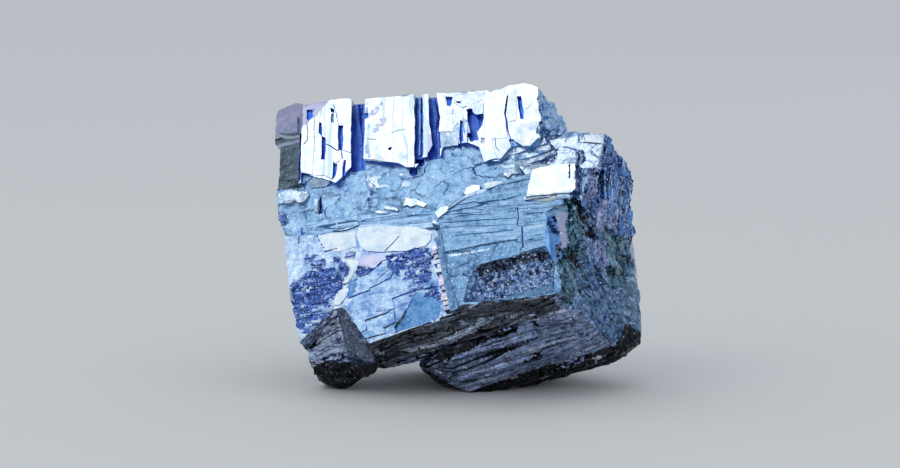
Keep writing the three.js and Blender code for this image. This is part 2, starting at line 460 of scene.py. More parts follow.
# Cleavage under a thin lilac tarnish.
LILAC = BLUE.toned("lilac_facet", "#c8c4d6", "#98a0c0", roughness=(0.22, 0.34), streak_share=0.2, bump=0.01,
    contrast=1.6, fleck_share=0.0, mottle=0.35)
# Cleavage filmed mauve, with less shine.
MAUVE = LILAC.toned("mauve_facet", "#cdc8da", "#8f94b6", roughness=(0.26, 0.4), cloud=1.3, grain=0.5,
    bump=0.012)
# A small side facet, filmed a stronger blue, partly painted reflection of a blue sky.
AZURE = LILAC.toned("azure_facet", "#86b2e4", "#3f72b4", roughness=(0.24, 0.36), streak_way=UPWARD,
    bump=0.014, contrast=2.4, mottle=0.45)
# Weathered: a grey-green crust takes the shine off.
DULL = Finish("dull_column", "#8898a2", "#45515c", Relief.BARRED, reach=0.36, roughness=(0.42, 0.55),
    grain=0.5, grain_share=0.2, streak=0.22, streak_share=0.5, bump=0.014, fleck="#b6bccb",
    fleck_share=0.01, square=True, seam=1.2, seam_dark="#3a434b", seam_glint=0.3)
# Broken walls that see mostly each other, so deep blue: painted shade.
SLOT_WALL = AZURE.toned("slot_wall", "#5f86d8", "#2545a4", reach=1.0, roughness=(0.3, 0.45), cloud=1.5,
    grain=0.3, grain_share=0.25, streak=0.16, streak_share=0.5, contrast=2.2, fleck="#7c9cdc",
    fleck_share=0.02, mottle=0.25, seam=0.9, seam_dark="#14246a", seam_glint=0.5)
# Floors of narrow slots and cracks, which catch a little light; their deep blue is painted shade.
SLOT_FLOOR = AZURE.toned("slot_floor", "#5c98f6", "#1f4cc0", roughness=(0.3, 0.45), grain=0.4,
    grain_share=0.2, streak=0.2, streak_share=0.3, bump=0.01, contrast=2.0, mottle=0.25)
# A crust of cubes under half a millimetre, which sparkle one by one.
DRUSE = Finish("sparkling_druse", "#a6c3e8", "#4b6088", Relief.DRUSY, reach=0.21, roughness=(0.18, 0.36),
    cloud=1.3, grain_share=0.45, streak_share=0.15, contrast=2.2, balance=0.45, fleck="#f2f6ff",
    fleck_share=0.05, mottle=0.35)
# The druse's upper rim, darkened by painted shadow of the hollow's top edge.
DRUSE_SHADOW = DRUSE.toned("druse_painted_shadow", "#6f7c98", "#272b38", reach=0.22, roughness=(0.2, 0.4),
    balance=0.5, fleck="#d8e0f0", fleck_share=0.04)
# Little stacked blocks, fresh and faintly pink.
RIDGE = Finish("stepped_ridge", "#ece2e6", "#a59cb4", Relief.STACKED, reach=0.4, roughness=(0.22, 0.36),
    cloud=0.8, grain=0.4, grain_share=0.4, streak_share=0.35, bump=0.01, contrast=2.2, balance=0.4,
    square=True)
# Bright rounded grains.
SHOULDER = BAND.toned("shoulder_face", "#e2edf6", "#a0bedd", reach=0.34, roughness=(0.24, 0.38), cloud=1.4,
    grain=0.8, grain_share=0.25, streak_share=0.25, bump=0.012, balance=0.4, fleck="#eef6fb",
    fleck_share=0.02, mottle=0.4)
# Rounded lumps, filmed pale blue, partly painted reflection of a blue sky.
LUMPS = SHOULDER.toned("rounded_lumps", "#b6d1ea", "#6790c4", relief=Relief.BULGING, reach=0.4,
    roughness=(0.26, 0.4), streak_way=UPWARD, streak_share=0.3, contrast=2.0, balance=0.45, fleck="#e6f0f8",
    fleck_share=0.01, mottle=0.35)
# Broken across the cubes: dark, with slanting splinters that glint.
HACKLY = SLOT_WALL.toned("hackly_side", "#7ca4d2", "#182640", relief=Relief.HACKLY, reach=0.42,
    roughness=(0.22, 0.45), cloud=1.6, grain=0.42, grain_share=0.4, streak=0.22, streak_way=SLANTING,
    streak_share=0.4, bump=0.02, balance=0.52, fleck="#b9cdf0", square=False, seam=1.0, seam_dark="#0e161e")
# Broken upright: dark columns with bright streaks, the streaks partly painted highlights.
COLUMNS = HACKLY.toned("upright_streaks", "#6c9ad8", "#0d1a40", relief=Relief.COLUMNS, reach=0.38,
    roughness=(0.22, 0.42), grain=0.4, grain_share=0.25, streak=0.3, streak_way=UPWARD, streak_share=0.6,
    contrast=3.2, fleck="#c3d8fa", fleck_share=0.06, seam=1.1, seam_dark="#0c1530", seam_glint=1.0)
# Hollows that hardly any light gets into.
NAVY = Finish("navy_hollow", "#4c6cac", "#0a1230", Relief.HACKLY, reach=0.42, roughness=(0.24, 0.42),
    grain=0.35, grain_share=0.3, streak_way=UPWARD, streak_share=0.5, contrast=2.8, balance=0.55,
    fleck="#a9c2ee", fleck_share=0.03, seam=0.9, seam_dark="#080d22", seam_glint=0.4)
# Splinters turned toward the light, filmed lilac.
LILAC_ROUGH = NAVY.toned("lilac_splinters", "#a3b2dc", "#3c4876", reach=0.38, roughness=(0.22, 0.4),
    cloud=1.2, grain=0.3, grain_share=0.4, streak=0.16, streak_share=0.4, contrast=2.4, balance=0.48,
    fleck="#dfe6ff", seam_dark="#1c2550", seam_glint=0.7)
# Broken galena with a greenish cast, which is painted reflection of green surroundings.
OLIVE = NAVY.toned("green_sheen", "#6f9cb8", "#17262e", reach=0.4, roughness=(0.2, 0.4), grain=0.45,
    grain_share=0.35, streak_way=SLANTING, streak_share=0.45, contrast=2.4, fleck="#9fc4c8",
    seam_dark="#0b1210", seam_glint=0.5)
# A broader, flatter break, steel-grey.
STEEL = DULL.toned("steel_facet", "#789ab6", "#344f6c", relief=Relief.HACKLY, reach=0.42,
    roughness=(0.26, 0.4), cloud=2.2, streak=0.3, streak_way=SLANTING, streak_share=0.35, contrast=2.0,
    fleck="#a9c8dc", fleck_share=0.03, seam=1.4, seam_dark="#223a50")
# Broken into long ridges that each catch a line of light; its dark colour is painted shade of the underside.
HEEL = Finish("ridged_heel", "#a5b8e2", "#26303f", Relief.RIDGED, reach=0.46, roughness=(0.22, 0.42),
    cloud=1.8, grain_share=0.25, streak=0.12, streak_way=HEEL_WAY, streak_share=0.55, contrast=2.6,
    fleck="#dbe4ff", fleck_share=0.012, seam=1.5, seam_dark="#0e1116")
# The same in the ledge's shade, nearly black.
LEDGE = HEEL.toned("ledge_underside", "#6c7482", "#12110f", reach=0.43, roughness=(0.26, 0.45), grain=0.35,
    streak=0.13, streak_way=LEDGE_WAY, contrast=2.8, balance=0.58, fleck="#a4b4cc", fleck_share=0.006,
    seam=1.2, seam_dark="#090807", seam_glint=0.5)
# The ledge's brighter streaks.
LEDGE_LIGHT = HEEL.toned("ledge_streak", "#a9b8cc", "#3f4a5c", reach=0.37, roughness=(0.24, 0.4), cloud=1.2,
    grain_share=0.3, streak_way=LEDGE_WAY, streak_share=0.6, contrast=2.8, balance=0.45, fleck="#dce6f4",
    fleck_share=0.04, seam=0.6, seam_dark="#15181e")
# The soles it rests on, near black with a wet shine; the near black is painted shade where they face the
# ground.
SOLE = HEEL.toned("dark_sole", "#3e4248", "#0a0b0d", reach=0.66, roughness=(0.12, 0.4), cloud=2.2,
    grain=0.5, grain_share=0.4, streak=0.2, streak_share=0.3, contrast=2.4, balance=0.6, fleck="#9a98c4",
    mottle=0.35, seam=0.0)
# Cleavage steps that face the ground.
NOTCH = HEEL.toned("notch_facet", "#d8e6ff", "#48587c", reach=0.36, roughness=(0.26, 0.42), cloud=1.4,
    streak=0.14, streak_way=NOTCH_WAY, bump=0.016, contrast=2.8, fleck="#c3d0ea", fleck_share=0.02,
    seam=0.9, seam_dark="#11151f")
# A smoother wall, grey and worn.
NOTCH_GREY = GRAINY.toned("notch_smooth", "#7f8ca6", "#3b4256", relief=Relief.WEATHERED, reach=0.6,
    roughness=(0.3, 0.42), cloud=1.8, grain=0.4, streak=0.14, streak_way=NOTCH_WAY, contrast=2.0,
    balance=0.48, fleck="#a9b8d0", fleck_share=0.03, mottle=0.4)
# Old cleavage, dulled grey by the weather.
WEATHERED = DRUSE.toned("weathered_back", "#b9c4d2", "#69798d", relief=Relief.WEATHERED, reach=1.5,
    roughness=(0.24, 0.42), cloud=4.0, grain=1.0, grain_share=0.3, streak=0.35, streak_share=0.35,
    contrast=2.4, fleck="#c3d0de", fleck_share=0.02, square=True)

FINISHES: tuple[Finish, ...] = (
    FRESH, PALE, PALE_LOW, LENS, VEILED, BAND, BAND_LOW, TORN, STRIATED, GRAINY, BLUE, LILAC, MAUVE, DULL,
    SLOT_WALL, SLOT_FLOOR, AZURE, DRUSE, DRUSE_SHADOW, RIDGE, SHOULDER, LUMPS, HACKLY, COLUMNS, NAVY,
    LILAC_ROUGH, OLIVE, STEEL, HEEL, LEDGE, LEDGE_LIGHT, SOLE, NOTCH, NOTCH_GREY, WEATHERED,
)
NUMBER = {finish.name: k for k, finish in enumerate(FINISHES)}


# ---------------------------------------------------------------- plates, pits and cracks


class Work(Enum):
    """What a feature does to the lump."""

    GROW = "UNION"
    BREAK = "DIFFERENCE"


@dataclass(frozen=True)
class Plate:
    """A cleavage plate that stands on the front, or a pit broken into it.

    Attributes:
        work: Whether it stands out or is broken away.
        name: What it is.
        outline: Its corners as (across, up) in mm.
        level: Depth of its face behind the front cleavage in mm.
        finish: The finish of its face.
        tilt: How much deeper the face gets for each mm to the right and upward.
        root: Depth a grown plate starts from.
        bevel: How far its face is drawn in from its outline in mm.
    """

    work: Work
    name: str
    outline: Outline
    level: float
    finish: Finish
    tilt: Pair = (0.0, 0.0)
    root: float = 1.4
    bevel: float = 0.0

    def depth(self, places: Array) -> Array:
        """Depth of the face at points given as (across, up)."""
        middle = np.mean(np.array(self.outline), axis=0)
        return self.level + (places - middle) @ np.array(self.tilt)

    def mesh(self) -> bpy.types.Mesh:
        """The plate, or the piece to break away, as a closed solid in cube axes."""
        corners = np.array(self.outline)
        middle = corners.mean(axis=0)
        reach = np.linalg.norm(corners - middle, axis=1, keepdims=True)
        share = np.maximum(LEAST_LEFT, 1 - self.bevel / np.maximum(reach, 0.01))
        face = middle + (corners - middle) * share
        count = len(corners)
        if self.work is Work.GROW:
            near, far = face, corners
            front, back = self.depth(face), np.full(count, self.root)
        else:
            near, far = corners, face
            front, back = np.full(count, IN_FRONT), self.depth(face)
        shape = bmesh.new()
        ring = [shape.verts.new((x, y, z)) for (x, z), y in zip(near, front)]
        other = [shape.verts.new((x, y, z)) for (x, z), y in zip(far, back)]
        shape.faces.new(ring)
        shape.faces.new(list(reversed(other)))
        for k in range(count):
            after = (k + 1) % count
            shape.faces.new((ring[k], other[k], other[after], ring[after]))
        bmesh.ops.recalc_face_normals(shape, faces=shape.faces)
        bmesh.ops.triangulate(shape, faces=shape.faces)
        return mesh_of(shape, self.name)

    def claims(self, middles: Array, normals: Array) -> Array:
        """Which faces, by middle and normal, are this feature's own face."""
        flat = middles[:, [0, 2]]
        near = (np.abs(middles[:, 1] - self.depth(flat)) < CLAIM_WITHIN) & (normals[:, 1] < -CLAIM_FACING)
        near[near] = in_outline(flat[near], self.outline)
        return near


@dataclass(frozen=True)
class Crack:
    """A thin dark crack or cleavage step along a line on the front.

    Attributes:
        line: Its points as (across, up) in mm.
        width: How wide it gapes in mm.
        level: Depth of its floor behind the front cleavage in mm.
        overrun: How far each stretch runs past its ends, as a share of the width.
        stagger: How much deeper each stretch is than the one before, so that no two floors meet in a plane.
    """

    line: Outline
    width: float
    level: float
    overrun: float = 0.45
    stagger: float = 0.004

    def plates(self) -> Iterable[Plate]:
        """The crack as one narrow pit for each stretch of it."""
        points = np.array(self.line)
        for k, (start, end) in enumerate(zip(points[:-1], points[1:])):
            along = (end - start) / np.linalg.norm(end - start)
            across = np.array([-along[1], along[0]]) * self.width / 2
            spread = along * self.width * self.overrun
            first, last = start - spread, end + spread
            corners = (first - across, last - across, last + across, first + across)
            outline = tuple((float(x), float(z)) for x, z in corners)
            yield broken(f"crack_{k}", outline, self.level + self.stagger * k, SLOT_FLOOR)


grown, broken = partial(Plate, Work.GROW), partial(Plate, Work.BREAK)

# The bright plates along the top edge, from left to right.
UPPER_PLATES: tuple[Plate, ...] = (
    grown("rounded_facet", ((-21.6, 19.2), (-20.7, 20.95), (-19.3, 21.05), (-17.9, 20.25), (-17.75, 17.5),
      (-19.3, 17.7), (-20.9, 18.3)), 0.3, MAUVE, (-0.33, 0.06), 3, 0.25),
    grown("block_left", ((-17.38, 12.3), (-16.9, 11.65), (-15.8, 11.36), (-15.62, 15.5), (-15.68, 19.9),
      (-16.64, 18.95), (-17.38, 18.3)), -0.16, FRESH, (0.01, 0)),
    grown("block_second", ((-15.8, 11.36), (-14.2, 10.99), (-14.1, 13.25), (-14.6, 13.3), (-14.66, 17),
      (-15.05, 17.2), (-15.02, 18.8), (-14.6, 20.85), (-15.7, 19.95), (-15.62, 15.5)), -0.08, FRESH,
      (-0.01, 0.005)),
    grown("slot_filling", ((-15.4, 13), (-13.8, 13), (-13.8, 19), (-15.4, 19)), 0, FRESH, root=1.3),
    grown("slot_filling_right", ((-12.6, 14.2), (-11.3, 14.2), (-11.3, 18.3), (-12.6, 18.3)), 0, FRESH,
      root=1.3),
    grown("block_middle", ((-14.05, 16.3), (-13.95, 15.6), (-12.6, 14.4), (-12.35, 14.4), (-12.35, 18.1),
      (-12.8, 20.2), (-13.2, 21.3), (-14.5, 20.9), (-14.62, 18.8)), -0.22, FRESH, (0.02, -0.005)),
    grown("block_lower", ((-14.05, 13.2), (-14.02, 15.4), (-12.5, 14.2), (-11.95, 14.2), (-11.85, 13.2),
      (-12.4, 12.6), (-12.95, 12.8), (-13.05, 10.4), (-14.2, 11)), -0.12, FRESH, (0, 0.012)),
    grown("block_right", ((-11.66, 14.35), (-11.66, 18), (-12.2, 18.4), (-12.7, 20.4), (-12.6, 21.75),
      (-11.1, 21.7), (-10.62, 21.4), (-10.62, 13.8)), -0.14, FRESH, (0.015, 0.01)),
    grown("block_tip", ((-12.35, 12.4), (-11.9, 13.1), (-11.6, 12.9), (-11.75, 11), (-11.85, 10.35),
      (-12.6, 9.8), (-13.05, 10), (-12.6, 10.9)), -0.1, FRESH, (0.03, 0)),
    grown("lilac_bevel", ((-16.4, 10.7), (-15.6, 11.3), (-14.2, 11.05), (-13.6, 10.2), (-14.2, 9.72),
      (-16.25, 9.82)), 0.42, PALE, (0, -0.32), 2),
    broken("slot_a_low", ((-14.64, 16.75), (-14.08, 16.4), (-14.04, 13.24), (-14.6, 13.31)), 0.5,
      SLOT_FLOOR),
    broken("slot_a_high", ((-15.02, 18.8), (-14.67, 18.76), (-14.56, 16.7), (-15.05, 17.24)), 0.42,
      SLOT_FLOOR),
    broken("slot_b", ((-12.31, 18.06), (-11.68, 17.97), (-11.7, 14.33), (-12.33, 14.42)), 0.5, SLOT_FLOOR),
    broken("slot_c", ((-13.48, 20.61), (-12.87, 20.3), (-12.86, 19.65), (-13.41, 20.02)), 0.4, SLOT_FLOOR),
    broken("slot_d", ((-13.33, 19.72), (-12.93, 19.66), (-12.91, 18.36), (-13.31, 18.42)), 0.1, BLUE,
      (0.15, 0)),
    broken("slot_e", ((-12.95, 12.73), (-12.41, 12.44), (-12.65, 10.77), (-13.11, 10.27)), 0.38,
      SLOT_FLOOR),
    broken("slot_f", ((-11.72, 10.93), (-11.54, 12.89), (-11.28, 12.85), (-11.32, 11.15), (-11.77, 10.1)),
      0.34, SLOT_FLOOR),
    broken("slot_mauve", ((-16.85, 21.05), (-16, 20.93), (-15.98, 19.67), (-16.65, 19.3), (-16.9, 19.8)),
      0.55, SLOT_FLOOR),
    broken("gap_beside_block", ((-17.72, 17.6), (-17.42, 17.6), (-17.42, 10.9), (-17.72, 10.6)), 0.6,
      SLOT_FLOOR),
    broken("mauve_flat", ((-17.5, 23), (-13, 23), (-14.4, 20.9), (-15.7, 19.95), (-16.6, 19.05),
      (-17.5, 18.2)), 0.2, MAUVE, (0.02, 0.03)),
    grown("face_two", ((-8.86, 12.65), (-6.58, 12.05), (-4.18, 11.43), (-3.12, 10.71), (-2.1, 10.4),
      (-1.95, 15), (-2.1, 20.95), (-5.5, 21.05), (-8.7, 21.25)), -0.1, FRESH, (0.004, 0.006)),
    grown("face_two_right", ((-2.9, 10.65), (-2.05, 10.38), (-1.98, 15), (-2.1, 20.95), (-2.6, 21),
      (-3.1, 16)), -0.2, FRESH, (0.02, 0)),
    broken("pit", ((-5.7, 13.5), (-5.4, 13.85), (-5.02, 13.75), (-5.26, 13.3)), 0.25, SLOT_FLOOR),
    broken("left_bite", ((-8.9, 19.3), (-8.3, 19.2), (-8.25, 18.5), (-8.9, 18.3)), 0.35, SLOT_FLOOR),
    broken("navy_bite", ((-2.95, 10.6), (-1.9, 10.5), (-1.9, 9.9), (-2.5, 9.6), (-2.9, 10)), 1.2,
      SLOT_WALL),
    grown("slot_filling_middle", ((-2.3, 12), (-0.6, 12), (-0.6, 20.8), (-2.3, 20.9)), 0.85, SLOT_WALL,
      root=2.4),
    grown("thin_sliver", ((-1.62, 12.4), (-1.42, 12.4), (-1.4, 20.85), (-1.62, 20.9)), 0.55, BLUE,
      root=2.4),
    grown("sliver", ((-0.97, 20.85), (-0.22, 20.75), (-0.12, 17), (0.14, 15), (0.32, 13.4), (-0.23, 12.3),
      (-0.5, 15.1), (-0.83, 17.4)), 0.02, FRESH, (0.05, 0), 2.4),
    grown("fragment_left", ((0.97, 20.64), (2, 20.4), (2.13, 18.9), (3.09, 18.5), (3.09, 14.9), (1.3, 15.1),
      (1.42, 17)), -0.1, FRESH, (0.02, 0), 2.2),
    broken("fragment_foot", ((1.2, 15.1), (3.1, 14.85), (3.8, 13.7), (3.9, 12.6), (2.4, 12.5), (1.3, 12.8)),
      0.22, PALE, (0, -0.14)),
    grown("fragment_right", ((3.09, 16.4), (3.86, 16.15), (4.05, 13.93), (3.79, 12.74), (2.96, 14.08)),
      -0.12, PALE, (0.03, 0)),
    grown("top_strip", ((3.15, 20.25), (7.4, 19.9), (7.3, 19.2), (7.05, 16.7), (6.16, 16.9), (4.9, 18.3),
      (4.37, 18.1), (3.2, 19)), -0.12, VEILED, (0, 0.02), 1.6),
    broken("cavity", ((2.1, 20.1), (3.1, 19.85), (2.85, 18.5), (2.3, 18.7)), 0.5, SLOT_FLOOR),
    broken("small_cavity", ((3.5, 19.15), (4.3, 19.05), (4.2, 18.75), (3.6, 18.85)), 0.32, SLOT_FLOOR),
    broken("recess", ((4.88, 17.92), (5.65, 17.81), (6.16, 16.5), (7.05, 16.5), (7.3, 15.9), (6.9, 14.9),
      (6.4, 14.1), (6.4, 13.3), (5.5, 13.1), (5.6, 15.1)), 0.8, SLOT_FLOOR),
    broken("recess_step", ((6.1, 16.8), (7.5, 16.9), (7.5, 15), (6.9, 14.2), (6.3, 13.8)), 0.45, BLUE,
      (-0.25, 0)),
    broken("gap_in_fragments", ((4.05, 16.4), (4.4, 16.2), (4.48, 13.3), (4.05, 12.9), (4, 14.5)), 0.4,
      SLOT_FLOOR),
    grown("fragment_c", ((4.37, 16.62), (5, 16.53), (5.39, 14.42), (4.49, 14.41)), 0.02, PALE, (0.06, 0)),
    grown("fragment_d", ((4.43, 13.6), (5.13, 13.91), (5.38, 13.19), (4.62, 13.03)), 0.25, PALE, (0, -0.1)),
    grown("tooth", ((7.38, 19.48), (10.35, 18.91), (10.08, 16.06), (10.3, 13.57), (10.8, 11.6),
      (9.42, 10.1), (8.5, 10.2), (7.65, 10.02), (6.9, 11.34), (6.4, 14.14), (7.17, 15.12)), -0.28, FRESH,
      (0.006, -0.004), 1.8),
    broken("tooth_foot", ((8.3, 13), (10.4, 12.9), (10.9, 11.4), (9.4, 9.9), (8.9, 10.1)), -0.16, VEILED,
      (0.02, -0.03)),
    broken("tooth_bite", ((6.85, 13.4), (7.4, 13.2), (7.3, 12.4), (6.9, 12.6)), -0.1, LILAC, (0.1, 0)),
    grown("column", ((10.46, 19.4), (10.63, 19.83), (12.55, 20.44), (14.44, 19.54), (14.54, 17.19),
      (14.88, 14.69), (14.37, 14.08), (14.48, 12.44), (13.34, 11.38), (12.46, 11.5), (11.33, 12.34),
      (10.6, 13.54), (10.4, 15.75)), -0.08, FRESH, (0.012, 0), 2.6),
    grown("column_left", ((10.5, 19), (11.5, 19.6), (11.6, 17), (11.5, 15.2), (10.6, 15.2), (10.45, 17)),
      -0.18, VEILED, (0.02, 0), 2),
    broken("column_slot", ((11.62, 18.72), (12.17, 18.64), (12.52, 16.81), (12.5, 15.28), (12.1, 15.3),
      (11.8, 16.9)), 0.55, SLOT_FLOOR),
    grown("lump_high", ((14.4, 18.5), (15.3, 18.2), (16.1, 16.9), (16.1, 15.3), (15.1, 14.9), (14.5, 15.2)),
      1.6, SHOULDER, (0.3, -0.05), 7, 0.35),
    grown("lump_middle", ((14.6, 15.6), (15.6, 15.8), (16.3, 15.2), (16.5, 14.2), (15.5, 13.6),
      (14.6, 13.9)), 1.3, SHOULDER, (0.2, -0.1), 7, 0.3),
    grown("lump_low", ((15.6, 14.7), (16.7, 15.1), (17.6, 14.1), (17.1, 13.2), (15.2, 13.2)), 1.7, SHOULDER,
      (0.15, -0.1), 7, 0.3),
)

# The granular band, the ledge below it, and the shoulder.
MIDDLE_PLATES: tuple[Plate, ...] = (
    grown("cluster_left", ((-20.5, 8), (-20.8, 9.3), (-19.85, 10.05), (-18.2, 10), (-16.45, 9.46),
      (-16.2, 8.72), (-16.8, 7.68), (-17.75, 7.67), (-18.3, 8.05), (-19, 7.69)), 0.35, SHOULDER,
      (0.03, 0.12), 2.2, 0.2),
    grown("upright_chip", ((-15.7, 8.2), (-15.15, 8.1), (-15.05, 6.1), (-15.6, 6.2)), 0.5, PALE, (0.1, 0)),
    broken("upright_gap", ((-15.05, 8.4), (-14.75, 8.3), (-14.65, 6.2), (-15, 6.1)), 1.2, SLOT_WALL),
    grown("chip_right", ((-3.9, 6.3), (-3.5, 6.8), (-2.6, 6.4), (-2.1, 6.5), (-1.4, 5.9), (-0.5, 5.4),
      (-0.9, 5), (-1.9, 5.4), (-2.6, 5.2), (-3.2, 5.6), (-3.8, 5.5)), 0.5, FRESH, (0, 0.02), 2.2, 0.05),
    grown("chip_middle", ((-6.4, 5.75), (-5.7, 5.95), (-4.3, 5.3), (-4.4, 4.95), (-5.8, 5.3)), 0.6,
      SHOULDER, (0.03, 0.03), 2.2, 0.05),
    grown("chip_left", ((-7.7, 5.25), (-7, 5.5), (-5.5, 5), (-5.8, 4.75), (-6.9, 4.9)), 0.62, FRESH,
      (0.03, 0.03), 2.2, 0.05),
    grown("ledge_light", ((-16.8, 3.1), (-16.6, 4.5), (-12.5, 4.9), (-9.6, 4.4), (-9.4, 3.45),
      (-13.5, 2.9)), 0.5, SHOULDER, (0.01, -0.06), 2.2, 0.15),
    grown("ledge_right", ((-6.8, 3.25), (-6.6, 4.3), (-1, 4), (1.4, 3), (1.1, 1.9), (-1.1, 1.95)), 0.55,
      BAND_LOW, (0, 0.1), 2.2),
    grown("terrace_high", ((10.4, 13), (14.6, 13.4), (14.9, 12.6), (10.5, 11.7)), 0.4, BAND, (0.03, 0),
      3.2),
    grown("terrace_second", ((10.3, 12), (15, 12.9), (15.3, 11.9), (10.4, 10.8)), 0.75, SHOULDER, (0.04, 0),
      3.2),
    grown("terrace_third", ((10.3, 11.1), (15.4, 12.1), (15.8, 11.1), (12.6, 10.3), (10.4, 10)), 1.1, BAND,
      (0.06, 0), 3.2),
    grown("terrace_low", ((10.6, 10.3), (16, 11.4), (16.1, 10.5), (13, 9.7), (10.9, 9.4)), 1.45, SHOULDER,
      (0.08, 0), 3.2),
    grown("lump_a", ((9.27, 8.3), (10.2, 9.1), (11.4, 9.1), (11.9, 8), (11, 7.75), (9.9, 7.2)), 0.55,
      SHOULDER, (0.1, 0.04), 2.4, 0.4),
    grown("lump_b", ((11.4, 9.3), (13.4, 8.8), (13.7, 7.7), (12.4, 7.4), (12, 8.05)), 0.8, SHOULDER,
      (0.1, 0.04), 2.4, 0.35),
    grown("pink_facet", ((19.9, 12.9), (22.4, 12.6), (22.25, 11.5), (20, 11.9)), 1.85, LENS, (0.04, 0.03),
      4),
    grown("shoulder_left", ((15.2, 9.1), (18.8, 8.9), (18.9, 10.7), (16.2, 11.4)), 1.8, SHOULDER,
      (0.02, 0.03), 4),
)

# The pale lower left face.
LOWER_PLATES: tuple[Plate, ...] = (
    grown("lens", ((-9.4, 2.9), (-7.7, 2.95), (-5.8, 2.75), (-3.9, 2.4), (-1.9, 2.05), (-0.3, 1.5),
      (0.25, 0.8), (0.2, -0.1), (-0.5, -0.75), (-1.5, -0.95), (-3.2, -1.1), (-5.8, -0.9), (-8.2, -0.5),
      (-9.2, 0.4), (-9.6, 1.8)), -0.14, LENS, (0.004, 0.004)),
    grown("pale_left", ((-14.9, 2.6), (-9.9, 2.5), (-9.7, 0.4), (-12, 0), (-13.9, 0.4)), -0.06, LENS,
      (0, 0.01)),
    grown("white_piece", ((-12.2, -5.3), (-10.6, -4.7), (-10.7, -6.2), (-11.8, -7.4), (-12.6, -7.5)), -0.1,
      LENS, (0.01, 0)),
    grown("torn_right_chip", ((-3.4, -2.1), (-1.6, -1.9), (-1.5, -2.4), (-3.1, -2.8)), -0.04, LENS,
      (0.05, 0)),
    grown("torn_right_chip_two", ((-1.4, -5), (-0.4, -4.6), (-0.3, -5.4), (-1.2, -5.7)), -0.04, PALE,
      (0, 0.1)),
    broken("blue_triangle", ((-3.3, -9.6), (-1.7, -6.9), (-0.6, -7.4), (0.9, -8), (1.5, -9.1), (1.3, -11),
      (-4.4, -12.2), (-4.6, -11.3)), 0.3, BLUE, (0.03, -0.1)),
)

# The cube that stands forward on the right.
FORWARD_PLATES: tuple[Plate, ...] = (
    grown("ridge_bank", ((1.1, -0.4), (2.4, -0.2), (4.5, -10.5), (3.1, -10.7)), -1.5, GRAINY,
      (-0.22, -0.05), 0.3),
    grown("druse_rim", ((9.8, -10), (12.6, -9.4), (15.6, -8.7), (16.9, -7.6), (17.3, -7.6), (17.3, -10.3),
      (9.5, -10.7)), -1.5, GRAINY, (-0.02, 0.42), -0.2),
    grown("arc_bank", ((1.2, 1.2), (1.6, 2.5), (3, 3.5), (4.7, 4.4), (6.6, 5.1), (6.6, 4), (4.5, 2.8),
      (2.6, 1)), -1.9, STRIATED, (0, 0), 0.5),
    grown("edge_light_low", ((1.2, 2.5), (2, 3.6), (3.2, 3.6), (3.3, 2.9), (1.7, 1.7)), -2.1, FRESH,
      (0.05, 0.05), 1, 0.2),
    grown("edge_light_foot", ((0.7, 1.3), (0.8, 2), (1.5, 1.9), (1.6, 1.2)), -1.9, SHOULDER, (0, 0.1), 0.6,
      0.15),
    grown("edge_light_middle", ((4.75, 5), (5, 6), (6.5, 6.4), (7.3, 6.1), (7.3, 5.3), (5.4, 4.6)), -1.5,
      FRESH, (0.03, 0.05), 1, 0.25),
    grown("edge_light_high", ((7.5, 6.2), (9.5, 6.3), (10.4, 5.95), (7.6, 5.2)), -1.6, LENS, (0.03, 0.05),
      1, 0.15),
    grown("edge_light_long", ((2.9, 2.9), (4.7, 4.4), (6.5, 5.1), (8.1, 5.3), (8, 4.9), (6.4, 4.6),
      (4.7, 3.9)), -2.02, PALE, (0, 0.12), 0),
    broken("below_step", ((1, -3.2), (2.58, -2.83), (3.78, -2.71), (6.44, -2.49), (9.35, -2.32),
      (12.05, -2.25), (12.4, -3), (12.3, -4.4), (8.5, -5.1), (6.4, -5.4), (5.6, -7.3), (5.3, -10),
      (4.9, -11.5), (2, -11.5), (1.5, -7)), -1.8, GRAINY, (0, 0.03)),
    broken("step_light", ((3, -2.78), (6.44, -2.46), (9.35, -2.28), (12, -2.2), (12, -2.9), (9.3, -3.1),
      (6.4, -3.3), (3.2, -3.3)), -1.88, SHOULDER, (0, -0.16)),
    broken("right_of_step", ((12.15, 2.3), (12.22, 0.67), (12.05, -0.43), (12.6, -0.65), (12.75, -3.4),
      (15.8, -3.5), (15.8, 1), (16.2, 2.3)), -1.86, STRIATED, (0.01, -0.02)),
    grown("plate_sill", ((13, 2.9), (13.3, 3.3), (19.2, 3.3), (19, 2.4), (15.5, 2.3)), -2.2, PALE,
      (0, -0.2), 0, 0.1),
)

